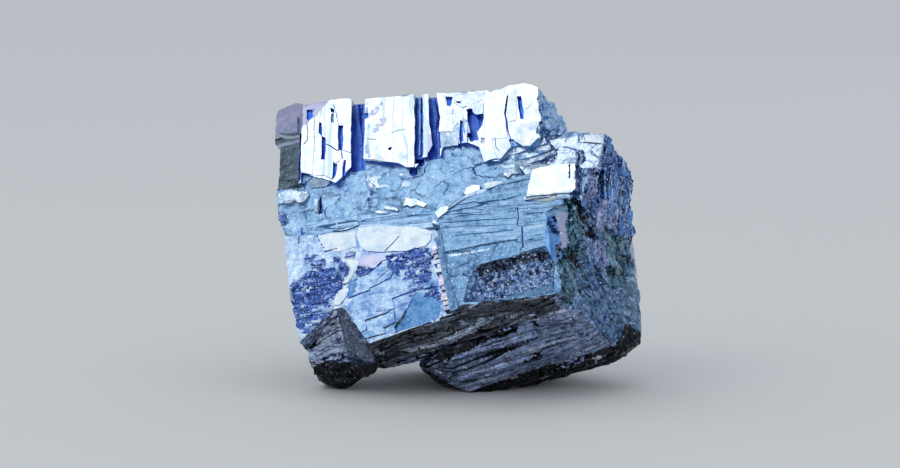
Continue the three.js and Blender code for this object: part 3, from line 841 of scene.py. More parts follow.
# Hairline cracks and cleavage steps, from the top left down and across.
CRACKS: tuple[Crack, ...] = (
    Crack(((-16.71, 18.77), (-16.5, 17.6), (-16.53, 16.44), (-17.06, 15.95)), 0.12, 0.2),
    Crack(((-14.01, 15.51), (-13.3, 15.1), (-12.51, 14.3)), 0.12, 0.2),
    Crack(((-11.9, 14.36), (-11.82, 13.21)), 0.14, 0.3),
    Crack(((-5.15, 15.82), (-4.2, 16.1), (-3.02, 16.08)), 0.09, 0.1),
    Crack(((-8.49, 15.51), (-7.28, 15.2)), 0.1, 0.1),
    Crack(((10.42, 18.95), (10.12, 16.34), (10.42, 14.11), (11, 11.7)), 0.16, 0.25),
    Crack(((8.75, 13), (8.9, 11.8), (9.2, 11.2)), 0.1, 0),
    Crack(((-17.3, 3.05), (-14.5, 2.85), (-11.3, 2.85), (-10.2, 3), (-9.4, 3.3)), 0.18, 0.9),
    Crack(((-17.4, 4.2), (-17.5, 1.9)), 0.2, 0.9),
    Crack(((-15, 2.6), (-14.9, 2.4)), 0.16, 0.3),
    Crack(((-14.75, 2.05), (-14.65, 1.9)), 0.16, 0.3),
    Crack(((-14.4, 1.4), (-14.3, 1.25)), 0.16, 0.3),
    Crack(((-14.1, 0.85), (-14, 0.75)), 0.16, 0.3),
    Crack(((-13.9, 0.2), (-13, 0.35)), 0.22, 0.3),
    Crack(((-12.8, 0.4), (-12.3, 0.35)), 0.14, 0.3),
    Crack(((-5.8, -0.8), (-4.9, 0.1), (-4, 1)), 0.12, 0.11),
    Crack(((-10.6, -6.65), (-9.3, -6.3), (-7.8, -6)), 0.24, 0.19),
    Crack(((-7.8, -6), (-7.8, -5.6), (-6.6, -5.2), (-5.7, -4.8), (-5.1, -4.6), (-4.8, -3.8)), 0.17, 0.17),
    Crack(((1, -6.6), (0.1, -6.6), (-2, -6.75), (-3.5, -7.1), (-4.8, -7.45)), 0.31, 0.2),
    Crack(((-4.8, -7.45), (-4.5, -8.5), (-4.4, -10.4)), 0.15, 0.17),
    Crack(((-4.8, -8.9), (-5.8, -9.4), (-7.1, -9.65), (-8.3, -9.95)), 0.22, 0.19),
    Crack(((-8.3, -9.95), (-8.2, -11.3), (-9.1, -11.6)), 0.15, 0.17),
    Crack(((-4.4, -10.7), (-5.8, -11.35)), 0.22, 0.19),
    Crack(((-5.7, -12.1), (-7.1, -12.35), (-8.5, -12.5)), 0.18, 0.19),
    Crack(((-6.9, -9), (-4.9, -8.9), (-2.1, -8)), 0.08, 0.1),
    Crack(((-7.6, -3.3), (-6.4, -2.2), (-5.7, -2)), 0.13, 0.12),
    Crack(((-7, -4.6), (-5.4, -3.4)), 0.09, 0.1),
    Crack(((19.04, 7), (19.01, 4.95)), 0.12, -2.2),
    Crack(((2.44, 1.28), (4.45, 1.15), (6.98, 0.95), (10.44, 0.7), (12.02, 0.7)), 0.1, -1.85),
    Crack(((4.45, 3.5), (6.46, 3.55), (8.32, 3.03)), 0.12, -1.85),
    Crack(((4.31, 1.95), (6.05, 1.85), (8.58, 1.58)), 0.1, -1.88),
    Crack(((4.04, -0.77), (6.71, -0.84), (9.36, -0.92), (11.48, -0.92)), 0.09, -1.88),
    Crack(((3.2, 2.7), (5.4, 2.75), (7.9, 2.3)), 0.08, -1.9),
    Crack(((12.1, 2), (12.22, 0.7), (12.02, -0.45)), 0.12, -1.7),
    Crack(((12.6, -0.65), (12.8, -3.4), (12.3, -4.1)), 0.16, -1.6),
    Crack(((12.8, 1), (14.2, 1.1), (15.4, 1)), 0.08, -1.75),
    Crack(((13.2, 2.85), (15.4, 2.75), (17.2, 2.95)), 0.1, -1.9),
    Crack(((18.9, 13.3), (19.1, 12), (20.6, 11.7), (22.3, 11.4)), 0.1, 2.12),
    Crack(((17.3, 11.6), (19.2, 10.9), (19.6, 9)), 0.1, 2.12),
)


@dataclass(frozen=True)
class Block:
    """A block with its edges along the cube axes, broken out of the lump.

    Attributes:
        name: What it is.
        low: Its lowest corner in mm.
        high: Its highest corner in mm.
        work: Whether it stands out or is broken away.
    """

    name: str
    low: tuple[float, ...]
    high: tuple[float, ...]
    work: Work = Work.BREAK

    def mesh(self) -> bpy.types.Mesh:
        """The block as a closed solid in cube axes."""
        shape = bmesh.new()
        bmesh.ops.create_cube(shape, size=1.0)
        low, high = np.array(self.low), np.array(self.high)
        for corner in shape.verts:
            corner.co = Vector(low + (np.array(corner.co) + 0.5) * (high - low))
        bmesh.ops.triangulate(shape, faces=shape.faces)
        return mesh_of(shape, self.name)


@dataclass(frozen=True)
class Knob:
    """A rounded lump grown on the specimen.

    Attributes:
        middle: Its middle in cube axes in mm.
        size: Its half widths in mm.
        name: What it is.
        work: Whether it stands out or is broken away.
        uneven: How far its surface swells, as a share of its size.
    """

    middle: Triple
    size: Triple
    name: str = "knob"
    work: Work = Work.GROW
    uneven: float = 0.16

    def mesh(self) -> bpy.types.Mesh:
        """The knob as a closed solid in cube axes, a little uneven."""
        shape = bmesh.new()
        bmesh.ops.create_icosphere(shape, subdivisions=3, radius=1.0)
        places = np.array([corner.co[:] for corner in shape.verts])
        reach = 1 + self.uneven * swell(places + np.array(self.middle), 0.7, 211)
        places = np.array(self.middle) + places * reach[:, None] * np.array(self.size)
        for corner, place in zip(shape.verts, places):
            corner.co = Vector(place)
        return mesh_of(shape, self.name)


# Rounded lumps that climb from the shoulder to the top edge.
KNOBS: tuple[Knob, ...] = (
    Knob((14.3, 4.7, 18.3), (1.5, 1.3, 1.5)),
    Knob((14.2, 8.9, 18.5), (1.6, 1.5, 1.3)),
    Knob((14.6, 3.4, 15.9), (1.2, 1.2, 1.3)),
    Knob((14.8, 6.4, 15.4), (1.5, 1.4, 1.2)),
    Knob((14.9, 2.5, 13.9), (1.1, 0.9, 0.8)),
)


@dataclass(frozen=True)
class CleavageSteps:
    """Oblong steps that cleavage left on the sides turned away from the front.

    Attributes:
        tries: How many places are tried.
        width: Least and most width of a step in mm.
        depth: Least and most depth of a step in mm.
        clear: Nearest a step comes to the front cleavage in mm.
        uneven: Most that the surface under a step may rise or fall in mm.
        small_ones: How much commoner small steps are than large ones, 1 being as common.
    """

    tries: int = 700
    width: Pair = (2.6, 8.5)
    depth: Pair = (0.25, 0.8)
    clear: float = 5.0
    uneven: float = 1.5
    small_ones: float = 1.5

    def blocks(self, blank: bpy.types.Object) -> Iterable[Block]:
        """Finds the block to break out for each step that fits.

        Args:
            blank: The lump in cube axes.

        Returns:
            The blocks, one after another.
        """
        tree = BVHTree.FromObject(blank, bpy.context.evaluated_depsgraph_get())
        places = np.array([corner.co[:] for corner in blank.data.vertices])
        least, most = places.min(axis=0), places.max(axis=0)
        for k in range(self.tries):
            luck = [float(chance([np.array([k])], 231 + j)[0]) for j in range(6)]
            axis, sign = (Side.BACK, Side.LEFT, Side.TOP)[k % 3].value
            span = self.width[1] - self.width[0]
            half = np.array([self.width[0] + span * part**self.small_ones for part in luck[3:]]) / 2
            spot = least + (most - least) * np.array(luck[:3])
            depths = []
            for near_far in (-1, 0, 1):
                for side in (-1, 0, 1):
                    start = spot + half * np.insert(np.array([near_far, side]), axis, 0)
                    start[axis] = (most if sign > 0 else least)[axis] + sign
                    inward = np.zeros(3)
                    inward[axis] = -sign
                    hit = tree.ray_cast(Vector(start), Vector(inward))[0]
                    depths.append(math.inf if hit is None else hit[axis] * sign)
            if max(depths) - min(depths) > self.uneven or not math.isfinite(max(depths)):
                continue
            low, high = spot - half, spot + half
            sink = (self.depth[1] - self.depth[0]) * luck[5] * 0.5
            floor = (min(depths) - self.depth[0] - sink) * sign
            low[axis], high[axis] = sorted((floor, (max(depths) + 1.0) * sign))
            if low[1] > self.clear:
                yield Block(f"step_{k}", tuple(low), tuple(high))


@dataclass(frozen=True)
class SteppedRidge:
    """The upright ridge between the lower face and the forward cube, stacked out of small blocks.

    Attributes:
        foot: Lowest point of its middle line as (across, up) in mm.
        head: Highest point of its middle line.
        stages: How many blocks it has.
        width: Width of a block in mm.
        stand: Least that its blocks stand out in mm.
        swing: How much further some of them do in mm.
        root: Depth its blocks grow from in mm.
        bevel: How far their faces are drawn in in mm.
    """

    foot: Pair = (2.75, -10.2)
    head: Pair = (0.85, -1.2)
    stages: int = 14
    width: float = 0.95
    stand: float = 0.65
    swing: float = 0.5
    root: float = 0.8
    bevel: float = 0.06

    def plates(self) -> Iterable[Plate]:
        """The blocks from the foot up, each a little off the middle line."""
        foot, head = np.array(self.foot), np.array(self.head)
        for stage in range(self.stages):
            luck = [float(chance([np.array([stage])], 40 + k)[0]) for k in range(5)]
            low, high = stage / self.stages, (stage + 0.84 + 0.14 * luck[4]) / self.stages
            start, end = foot + (head - foot) * low, foot + (head - foot) * high
            left = self.width * (0.2 + 0.5 * luck[0])
            right = self.width * (0.3 + 0.4 * luck[1])
            outline = (
                (start[0] - left, start[1] - 0.08), (start[0] + right, start[1] + 0.1),
                (end[0] + right * 0.85, end[1] + 0.12), (end[0] - left * 0.9, end[1] - 0.06),
            )
            finish = (RIDGE, LILAC, LENS, RIDGE)[int(luck[3] * 4) % 4]
            tilt = (0.3 * (luck[1] - 0.5), 0.12 * (luck[2] - 0.3))
            level = -self.stand - self.swing * luck[2]
            yield grown(f"ridge_{stage}", outline, level, finish, tilt, self.root, self.bevel)


# ---------------------------------------------------------------- regions of the lump


class Facing(Enum):
    """A way faces look: weights for the normal's three parts, and what their sum has to be above."""

    FRONT = ((0.0, -1.0, 0.0), 0.35)
    FLAT_FRONT = ((0.0, -1.0, 0.0), 0.93)
    EDGEWISE = ((0.0, 1.0, 0.0), -0.35)
    UNDER = ((0.0, 0.0, -1.0), 0.35)
    OVERHANG = ((0.0, 0.0, -1.0), 0.4)
    LEFT = ((-1.0, 0.0, 0.0), 0.3)
    NOT_LEFT = ((1.0, 0.0, 0.0), -0.65)
    NOTCH = ((-0.2, -1.0, 0.0), 0.2)


INF = math.inf
EVERYWHERE = (-INF, INF)


@dataclass(frozen=True)
class Region:
    """A box of the lump whose faces take a finish, before plates and zones are laid on.

    Attributes:
        finish: Its surface.
        facings: Ways its faces look, all of which have to hold.
        x: Least and most place across in mm.
        y: Least and most depth in mm.
        z: Least and most height in mm.
        side: The side its faces look to most, or None for any.
        outline: Its corners as (across, up) in mm, or None where it is the whole box.
    """

    finish: Finish
    facings: tuple[Facing, ...] = ()
    x: Pair = EVERYWHERE
    y: Pair = EVERYWHERE
    z: Pair = EVERYWHERE
    side: Side | None = None
    outline: Outline | None = None

    def holds(self, middles: Array, normals: Array) -> Array:
        """Which faces, by middle and normal, belong to the region."""
        held = np.ones(len(middles), bool)
        for values, (least, most) in zip(middles.T, (self.x, self.y, self.z)):
            held &= (values > least) & (values < most)
        for facing in self.facings:
            weights, least = facing.value
            held &= normals @ np.array(weights) > least
        if self.side:
            held &= side_of(normals) == list(Side).index(self.side)
        if self.outline:
            held[held] = in_outline(middles[held][:, [0, 2]], self.outline)
        return held


FRONT_WAY, FLAT, EDGEWISE = (Facing.FRONT,), (Facing.FLAT_FRONT,), (Facing.EDGEWISE,)
NOTCH_WALL = (Facing.NOTCH, Facing.NOT_LEFT)

# Later regions cover earlier ones.
REGIONS: tuple[Region, ...] = (
    # Underside, right side, and the notch at the lower left.
    Region(HEEL, (Facing.UNDER,), z=(-INF, -6)),
    Region(HEEL, FRONT_WAY, y=(1, INF), z=(-INF, -8)),
    Region(HACKLY, x=(14, INF), side=Side.RIGHT),
    Region(NOTCH, NOTCH_WALL, x=(-INF, -8), y=(0.05, 6.5), z=(-INF, -7.8)),
    Region(NOTCH_GREY, NOTCH_WALL, x=(-12.2, -8), y=(0.05, 6.5), z=(-INF, -7.8)),
    # The front: pale below, fresh above, with the slots and the granular band between. The slots take the
    # deep blue of their walls, painted shade.
    Region(PALE, FLAT, y=(-INF, 0.5), z=(-INF, 9)),
    Region(FRESH, FLAT, y=(-INF, 0.5), z=(9, INF)),
    Region(SLOT_WALL, FRONT_WAY, x=(-17.4, 14.6), y=(0.7, INF), z=(10.3, INF)),
    Region(BAND, FRONT_WAY, y=(0.45, 2.1), z=(0.9, 13.2)),
    Region(SLOT_WALL, FRONT_WAY, x=(-11, 7.2), y=(0.9, INF), z=(11.3, INF)),
    Region(SHOULDER, FRONT_WAY, x=(13.2, INF), y=(1.2, INF), z=(8, INF)),
    # The forward cube and the small plate on it.
    Region(STRIATED, FRONT_WAY, y=(-INF, -0.8), z=(-INF, 7.5)),
    Region(FRESH, FRONT_WAY, y=(-INF, -2.3)),
    # Edges of the plates, and the walls between levels. The deep blue on the edges, in the cracks and under
    # the overhangs is painted shade; the creamy finish on the forward cube's left wall is painted light.
    Region(SLOT_WALL, EDGEWISE, x=(-17.6, 14.4), y=(-INF, 2.6), z=(9.6, 19)),
    Region(STRIATED, EDGEWISE, x=(0.3, 17), y=(-2.6, 1), z=(-10.6, 7.4)),
    Region(BLUE, (Facing.OVERHANG,), x=(6.4, 15), y=(-INF, 2.6), z=(9.6, 13.6)),
    Region(SLOT_FLOOR, EDGEWISE, x=(-9.2, 1.5), y=(-0.4, 0.45), z=(-12.2, 3.4)),
    Region(SLOT_FLOOR, EDGEWISE, x=(-16.5, 1.5), y=(-0.4, 0.45), z=(-7, 3.4)),
    Region(LENS, (Facing.LEFT,), x=(0.3, 4.2), y=(-2.6, -0.1), z=(-11, 1.5)),
    # The hollow in the forward cube.
    Region(DRUSE, y=(-1.7, -0.4), outline=((5, -3.4), (17, -3), (17, -10.9), (4.4, -10.9))),
)


@dataclass(frozen=True)
class Fade:
    """The ragged line behind which the right side's tarnish gives way to plain weathered cleavage.

    Attributes:
        low: Depth of the line below the split, in mm.
        high: Its depth above the split, in mm.
        split: Height of the split in mm.
        left: How far to the left it reaches, in mm.
        foot: How far down it reaches, in mm.
        facing: Least cosine between its faces and the right.
        wave: Swing and size of its waves in mm.
        chip: Swing, width and height of its chips in mm.
    """

    low: float = 19.3
    high: float = 15.6
    split: float = 1.7
    left: float = 8.0
    foot: float = -9.0
    facing: float = 0.2
    wave: Pair = (1.8, 2.6)
    chip: Triple = (1.0, 1.4, 1.9)

    def holds(self, middles: Array, normals: Array) -> Array:
        """Which faces, by middle and normal, lie behind the line."""
        x, y, z = middles.T
        flat = middles[:, 1:]
        drift = self.wave[0] * swell(flat, self.wave[1], 151)
        drift += self.chip[0] * blocks(flat, self.chip[1:], 153)
        behind = y + drift > np.where(z > self.split, self.high, self.low)
        return behind & (normals[:, 0] > self.facing) & (x > self.left) & (z > self.foot)


# ---------------------------------------------------------------- zones of other surface


class View(Enum):
    """Which way a zone is drawn: its two axes, the axis it looks along, and the sign that faces out."""

    FRONT = (0, 2, 1, -1)
    RIGHT = (1, 2, 0, 1)
    UNDER = (0, 1, 2, -1)


@dataclass(frozen=True)
class Zone:
    """An area with a surface of its own and a frayed edge.

    Attributes:
        view: Which way it is drawn.
        span: Least and most depth along the axis looked along, in mm.
        outline: Its corners in mm on the view's two axes.
        finish: Its surface.
        lift: How far it stands out, in mm.
        tilt: How much further it stands out for each mm along the two axes.
        fray: How far its edge wanders in mm.
        cover: Share of its little blocks that take the finish.
        block: Size of those blocks in mm.
        facing: Least cosine between its faces and the way it is drawn from.
    """

    view: View
    span: Pair
    outline: Outline
    finish: Finish
    lift: float = 0.0
    tilt: Pair = (0.0, 0.0)
    fray: float = 0.2
    cover: float = 1.0
    block: Pair = (0.5, 0.28)
    facing: float = 0.5

    def flat(self, places: Array) -> Array:
        """Points as seen in the zone's view."""
        return places[:, list(self.view.value[:2])]

    def holds(self, middles: Array, normals: Array) -> Array:
        """Which faces, by middle and normal, belong to the zone."""
        along, sign = self.view.value[2:]
        depth = middles[:, along]
        held = (depth > self.span[0]) & (depth < self.span[1]) & (normals[:, along] * sign > self.facing)
        flat = self.flat(middles[held])
        sideways = swell(flat, 0.8, 111) + 0.6 * swell(flat, 0.3, 112)
        wander = np.stack([sideways, swell(flat, 0.8, 113)], axis=1)
        inside = in_outline(flat + self.fray * wander, self.outline)
        if self.cover < 1:
            luck = 0.5 + 0.5 * blocks(flat, self.block, 115) + 0.25 * swell(flat, 1.6, 117)
            inside &= luck < self.cover
        held[held] = inside
        return held

    def height(self, places: Array) -> Array:
        """How far the zone stands out at some points, in mm."""
        middle = np.mean(np.array(self.outline), axis=0)
        return self.lift + (self.flat(places) - middle) @ np.array(self.tilt)


FRONT, RIGHT, UNDER = View.FRONT, View.RIGHT, View.UNDER
# Zones at the front cleavage, on the right side, and near the soles.
skin_deep = partial(Zone, View.FRONT, (-0.4, 0.35))
on_right = partial(Zone, View.RIGHT, (17, 24))
on_soles = partial(Zone, View.UNDER, (-17, -8))

# Later zones cover earlier ones.
ZONES: tuple[Zone, ...] = (
    # Upper left corner: a dull barred column under two mauve facets.
    Zone(FRONT, (-0.1, 2.6), ((-24, 10.2), (-17.72, 10.2), (-17.72, 18), (-24, 18.6)), DULL, facing=0.1,
      fray=0.05),
    Zone(FRONT, (-0.1, 2.6), ((-24, 16.6), (-17.7, 16.5), (-17.7, 16.9), (-24, 17)), LILAC, 0.1, facing=0.1,
      fray=0.1),
    Zone(FRONT, (-0.1, 2.6), ((-24, 18.3), (-17.5, 17.6), (-17.5, 23), (-24, 23)), MAUVE, facing=0.1,
      fray=0.05),
    Zone(FRONT, (-0.4, 2.6), ((-21.6, 18.2), (-20.6, 17.9), (-19.3, 17.35), (-17.8, 17.2), (-17.8, 17.6),
      (-19.4, 17.75), (-21, 18.7)), LENS, 0.06, facing=0.1, fray=0.06),
    # Smudges on the second plate and on the fragments.
    skin_deep(((-8.3, 19.2), (-6.5, 20.5), (-6, 20.2), (-7.2, 18.9), (-8.2, 18.4)), LILAC, -0.08, cover=0.8,
      block=(0.3, 0.5)),
    skin_deep(((-7.8, 16.4), (-6.6, 18.2), (-5.6, 18.3), (-6.2, 17.1), (-7.5, 16)), LILAC, -0.08,
      cover=0.75, block=(0.3, 0.5)),
    skin_deep(((-8.7, 21.3), (-8.1, 21.3), (-8, 12.5), (-8.7, 12.7)), PALE, cover=0.3, block=(0.4, 1.6)),
    skin_deep(((-8, 13.2), (-5, 12.2), (-3, 12.6), (-2.6, 11.4), (-8, 12)), LENS, cover=0.6,
      block=(1, 0.5)),
    Zone(FRONT, (-0.4, 0.8), ((-0.3, 12.2), (0.32, 12.2), (0.35, 14.4), (-0.2, 15.4)), LILAC, fray=0.05),
    skin_deep(((10.8, 15.2), (14.4, 14.8), (14.3, 12), (13.2, 11.2), (11.2, 12.2)), VEILED, cover=0.7,
      block=(0.7, 0.9)),
    skin_deep(((12.7, 19), (14.5, 18.8), (14.7, 15.4), (13, 15)), VEILED, -0.05, cover=0.45,
      block=(0.6, 1.2)),
    # The lower left face turns bluer downward, and is torn in patches.
    skin_deep(((-10.6, -3.9), (-7.5, -3.2), (-5.6, -2.4), (-3.6, -4.6), (-0.5, -4.8), (2.2, -5.5),
      (2.8, -10.6), (-2, -12), (-8.6, -13.9), (-9.6, -10.5), (-10.9, -8)), PALE_LOW, fray=0.5),
    Zone(FRONT, (-0.1, 1.4), ((-3.3, -9.6), (-1.7, -6.9), (-0.6, -7.4), (0.9, -8), (1.5, -9.1),
      (1.3, -11.3), (-4.4, -12.4), (-4.6, -11.3)), BLUE, fray=0.25, facing=0.6),
    skin_deep(((-16.2, -0.4), (-13.9, -0.7), (-13.9, -2), (-12.4, -2.3), (-10.7, -4.5), (-11.6, -5.3),
      (-13, -6.9), (-15.1, -7.2), (-17.9, -6.4), (-18.6, -4.2), (-17.1, -2.8), (-15.9, -2.1)), TORN, -0.05,
      fray=0.3, cover=0.93),
    skin_deep(((-18.8, -6.2), (-13.6, -6.6), (-12.6, -8.4), (-14.4, -10.3), (-16.4, -11), (-18.6, -9)),
      TORN, -0.04, fray=0.4, cover=0.66, block=(0.9, 0.34)),
    skin_deep(((-16.6, 0.3), (-13.6, 0), (-13.2, -1.2), (-16.6, -1.2)), TORN, -0.04, fray=0.4, cover=0.3),
    skin_deep(((-11.2, -0.2), (-9.8, -0.4), (-9.9, -1.05), (-11.2, -1.05)), TORN, -0.06, fray=0.1),
    skin_deep(((-12.7, -0.8), (-11.9, -0.9), (-11.9, -1.7), (-12.7, -1.5)), TORN, -0.06, fray=0.1),
    skin_deep(((-12.1, -1.5), (-10.8, -1.8), (-10.6, -3), (-11.2, -3.7), (-11.9, -2.7)), TORN, -0.06,
      fray=0.15),
    skin_deep(((-10.4, -3.1), (-9.5, -2.4), (-7.5, -2.8), (-6.3, -2), (-6.2, -2.3), (-8, -3.6),
      (-9.4, -3.8)), TORN, -0.06, fray=0.12, cover=0.85),
    skin_deep(((-11, -1.2), (-9.5, -1.9), (-9.6, -2.7), (-10.1, -3.6), (-11, -4.6), (-11.6, -4.4),
      (-10.9, -3.4), (-10.5, -2.6), (-11, -1.9)), LENS, 0.04, fray=0.12),
    skin_deep(((-10.6, -4.3), (-9.7, -3.8), (-9.7, -5.2), (-10.1, -6.7), (-10.7, -6.6)), BLUE, -0.1,
      fray=0.15),
    skin_deep(((-9.3, -0.9), (-5.9, -1.3), (-5.9, -2), (-7.8, -2.7), (-9.4, -2.3)), LILAC, 0.03, fray=0.12,
      cover=0.92, block=(0.9, 0.6)),
    skin_deep(((-6, -1.3), (-4.6, -1.2), (-2.6, -1.2), (0.2, -0.9), (0.4, -3.1), (0.1, -4.1), (0.3, -5.5),
      (-1.9, -6.7), (-3, -6.2), (-1.9, -5.1), (-3.9, -4.9), (-5.3, -3.2)), TORN, -0.05, fray=0.3,
      cover=0.87),
    Zone(FRONT, (-0.4, 0.6), ((0, -6.2), (1.1, -6.5), (1.9, -8.6), (1.3, -8.9), (0.3, -7.4)), TORN, -0.05,
      fray=0.2),
    Zone(FRONT, (-0.4, 0.6), ((-3.2, -6.8), (0.3, -6.7), (0.6, -7.9), (-1.5, -7.9)), TORN, fray=0.3,
      cover=0.45),
    Zone(FRONT, (-0.4, 0.6), ((-8.6, -14.2), (-5, -13.2), (-0.3, -12.1), (3.4, -10.6), (3.4, -10.1),
      (-0.5, -11.2), (-5, -12.4), (-8.4, -12.9)), LENS, cover=0.75, block=(0.8, 0.25)),
    skin_deep(((1.8, 12.4), (6.6, 13), (6.6, 19.5), (1.8, 19.5)), VEILED, -0.06, cover=0.4,
      block=(0.35, 1.6)),
    # Band: bright crumbs, a dark fracture, stripes toward its foot.
    Zone(FRONT, (0.4, 2.2), ((-17, 5), (-6, 5), (1.2, 4.6), (1.4, 1), (-17, 2.6)), BAND_LOW, fray=0.3),
    Zone(FRONT, (0.4, 2.2), ((-8.3, 8.6), (-7.8, 8.3), (-8.1, 7.4), (-7.5, 6.3), (-8.2, 5.6), (-8.5, 7.4)),
      TORN, -0.15, fray=0.25, cover=0.7),
    Zone(FRONT, (0.4, 2.2), ((-9, 10.8), (-3.5, 10), (-3, 8.2), (-8.6, 8.8)), SHOULDER, 0.04, fray=0.5,
      cover=0.4, block=(1.5, 1)),
    Zone(FRONT, (0.4, 2.4), ((-20.9, 6.9), (-19.7, 6.6), (-19.5, 5.3), (-20.6, 4.8)), TORN, -0.2, fray=0.2),
    Zone(FRONT, (0.3, 2.6), ((8.6, 9.9), (10.5, 10.1), (14, 10.5), (14.8, 8.8), (11.4, 8.8), (9.1, 9.2)),
      SHOULDER, 0.05, fray=0.3, cover=0.7, block=(1.2, 0.5)),
    Zone(FRONT, (0.4, 2.4), ((10.6, 12.6), (14.8, 12.6), (14.8, 9.4), (10.9, 9.6)), SHOULDER, fray=0.3,
      facing=0.2, cover=0.45, block=(1.5, 0.4)),
    Zone(FRONT, (0.4, 2.6), ((11, 12.2), (13.6, 12.2), (16.4, 13.2), (16.4, 11.9), (14.2, 11.2),
      (11.6, 11)), SHOULDER, fray=0.3, facing=0.3, cover=0.7, block=(1.6, 0.45)),
    Zone(FRONT, (0.8, 2.8), ((13.6, 10.2), (14.9, 10.6), (16.2, 11.1), (16, 9.3), (14.4, 9.1)), TORN, -0.15,
      fray=0.3, cover=0.7, facing=0.3),
    # Forward cube: two upright facets at its right edge, and the dark break beyond them.
    Zone(FRONT, (-2.2, 0.5), ((17, 0.8), (18.2, 0.95), (18.15, -3.75), (17.7, -4.3), (17.3, -1.84)), LILAC,
      -0.05, fray=0.05, facing=0.2),
    Zone(FRONT, (-2.2, 0.5), ((16, 0.3), (16.95, 0.6), (17.3, -1.84), (17.7, -4.4), (17.35, -5.6),
      (16, -5.4), (15.65, -2.5)), AZURE, 0.05, fray=0.05, facing=0.2),
    Zone(FRONT, (-2.2, 0.5), ((16, -0.5), (16.3, -0.25), (17, -1.4), (17.45, -1.8), (17.3, -2.3),
      (16.45, -1.6)), NAVY, -0.2, fray=0.05, facing=0.2),
    Zone(FRONT, (-2.2, 0.5), ((16.45, 0.35), (16.8, 0.45), (17.1, -0.3), (17.05, -0.75)), NAVY, -0.15,
      fray=0.05, facing=0.2),
    Zone(FRONT, (-2.6, 1.5), ((18.2, 2.4), (20.5, 2.4), (20.5, -5.4), (17.7, -5.4), (17.7, -4.3),
      (18.15, -3.75)), OLIVE, facing=0.1),
    Zone(FRONT, (-2.6, 1.5), ((17.2, -5.4), (20, -5.4), (20, -12), (17, -12)), OLIVE, facing=0.1),
    Zone(FRONT, (-2.7, -1.7), ((13, 3.4), (13, 2.5), (15.5, 2.2), (19, 2.4), (19.2, 3.4)), LENS, facing=0.2,
      cover=0.5, block=(1.2, 0.3)),
    # The top of the hollow in the forward cube, in painted shadow, with scattered patches of it lower down.
    Zone(FRONT, (-1.7, -0.4), ((6.6, -4), (17.6, -3.4), (17.6, -4.9), (12, -5.2), (7, -6.4)), DRUSE_SHADOW,
      fray=0.35, facing=-0.5),
    Zone(FRONT, (-1.7, -0.4), ((7.4, -5.6), (12, -5), (17.2, -4.8), (16.5, -6.4), (12, -7.4), (9.6, -8.8),
      (7.6, -9.2)), DRUSE_SHADOW, -0.02, fray=0.4, cover=0.22, block=(0.45, 0.45), facing=-0.5),
    Zone(FRONT, (-2.2, -0.95), ((9.8, -9.7), (13, -9.5), (16, -8.6), (17.2, -7.6), (17.8, -10.4),
      (9, -10.9)), GRAINY, facing=-0.3, fray=0.25),
    Zone(FRONT, (0.6, 9), ((14.3, 13), (24, 13), (24, 20), (14.3, 20)), LUMPS, facing=0.05),
    Zone(FRONT, (-2.6, 0.6), ((4.4, -10.35), (17.4, -10.45), (17.4, -12), (4.4, -12)), LEDGE, facing=0.3,
      fray=0.25),
    # Right side: upright columns above, slanting splinters below.
    Zone(RIGHT, (12, 24), ((0.6, 12.9), (9, 12.9), (9, 20), (0.6, 20)), LUMPS, facing=0.05),
    Zone(RIGHT, (15, 24), ((-3, 0.8), (-3, 14), (24, 14), (24, 3.4), (9, 2), (5, 2.2), (2.5, 2.4)), COLUMNS,
      fray=0.5),
    on_right(((-2.6, 2.6), (-2.6, 9), (-1.4, 9), (-1.5, 2.6)), NAVY, fray=0.1),
    on_right(((0.3, 2.6), (0.6, 8.8), (2.2, 8.8), (2.6, 4.6), (1.9, 2.6)), LILAC_ROUGH, 0.1, fray=0.2),
    on_right(((2.4, 5), (2.3, 8), (2.75, 8), (2.9, 5)), LENS, 0.15, fray=0.1, cover=0.7, block=(0.3, 0.8)),
    on_right(((2.8, 9.2), (3.8, 9.6), (4.6, 6.5), (5.9, 2.4), (5, 2.2), (4, 4.6), (3, 7)), NAVY, -0.3,
      fray=0.2),
    on_right(((4.6, 13.4), (8.2, 12.8), (7.6, 9.4), (5, 9.6)), NAVY, -0.15, fray=0.3, cover=0.6,
      block=(0.5, 1.5)),
    on_right(((6.4, 5.6), (9.6, 5.8), (9.6, 2.4), (6.6, 2.2)), LILAC_ROUGH, 0.2, fray=0.3, cover=0.75,
      block=(0.7, 1.3)),
    # Scattered pale blocks: painted highlights, raised a little.
    on_right(((8.5, 9.5), (14.5, 10.5), (14, 4.6), (8.5, 5.6)), PALE_LOW, 0.15, fray=0.3, cover=0.26,
      block=(0.5, 1)),
    on_right(((3.1, 4.4), (5, 4.8), (6, 1.1), (3.5, 0.2)), LILAC_ROUGH, 0.35, (0.1, 0.05), 0.25),
    on_right(((3.9, -0.8), (7.1, 0.3), (7.8, -3.1), (5.5, -3.7)), LILAC_ROUGH, 0.3, (0.12, 0), 0.3),
    on_right(((-2.5, 2.2), (-1.2, 2.4), (0.8, -0.3), (1.3, -3.2), (-2.5, -3.8)), OLIVE, 0.1, fray=0.2),
    on_right(((-1.1, -1.8), (0.6, -1.6), (1.3, -3), (-1.1, -3.7)), STEEL, 0.2, fray=0.3, cover=0.6),
    # Near-black patches, sunk a little: painted shade.
    on_right(((-1.6, 2.3), (-1, 2.5), (0.8, 1.6), (2.6, 0.7), (2, 0.3), (0, 1)), SOLE, -0.5, fray=0.2),
    on_right(((1.8, -0.5), (4.4, 0.1), (4.3, -0.5), (2, -1)), SOLE, -0.4, fray=0.15),
    on_right(((-2.5, -3.7), (-1.3, -3.7), (3, -5.3), (1.2, -6), (-2.5, -5)), SOLE, -0.3, fray=0.25),
    on_right(((7.3, 1.6), (14.2, 3), (14.6, -0.8), (11.6, -4.6), (8.8, -4.6), (8, -2)), OLIVE, -0.2,
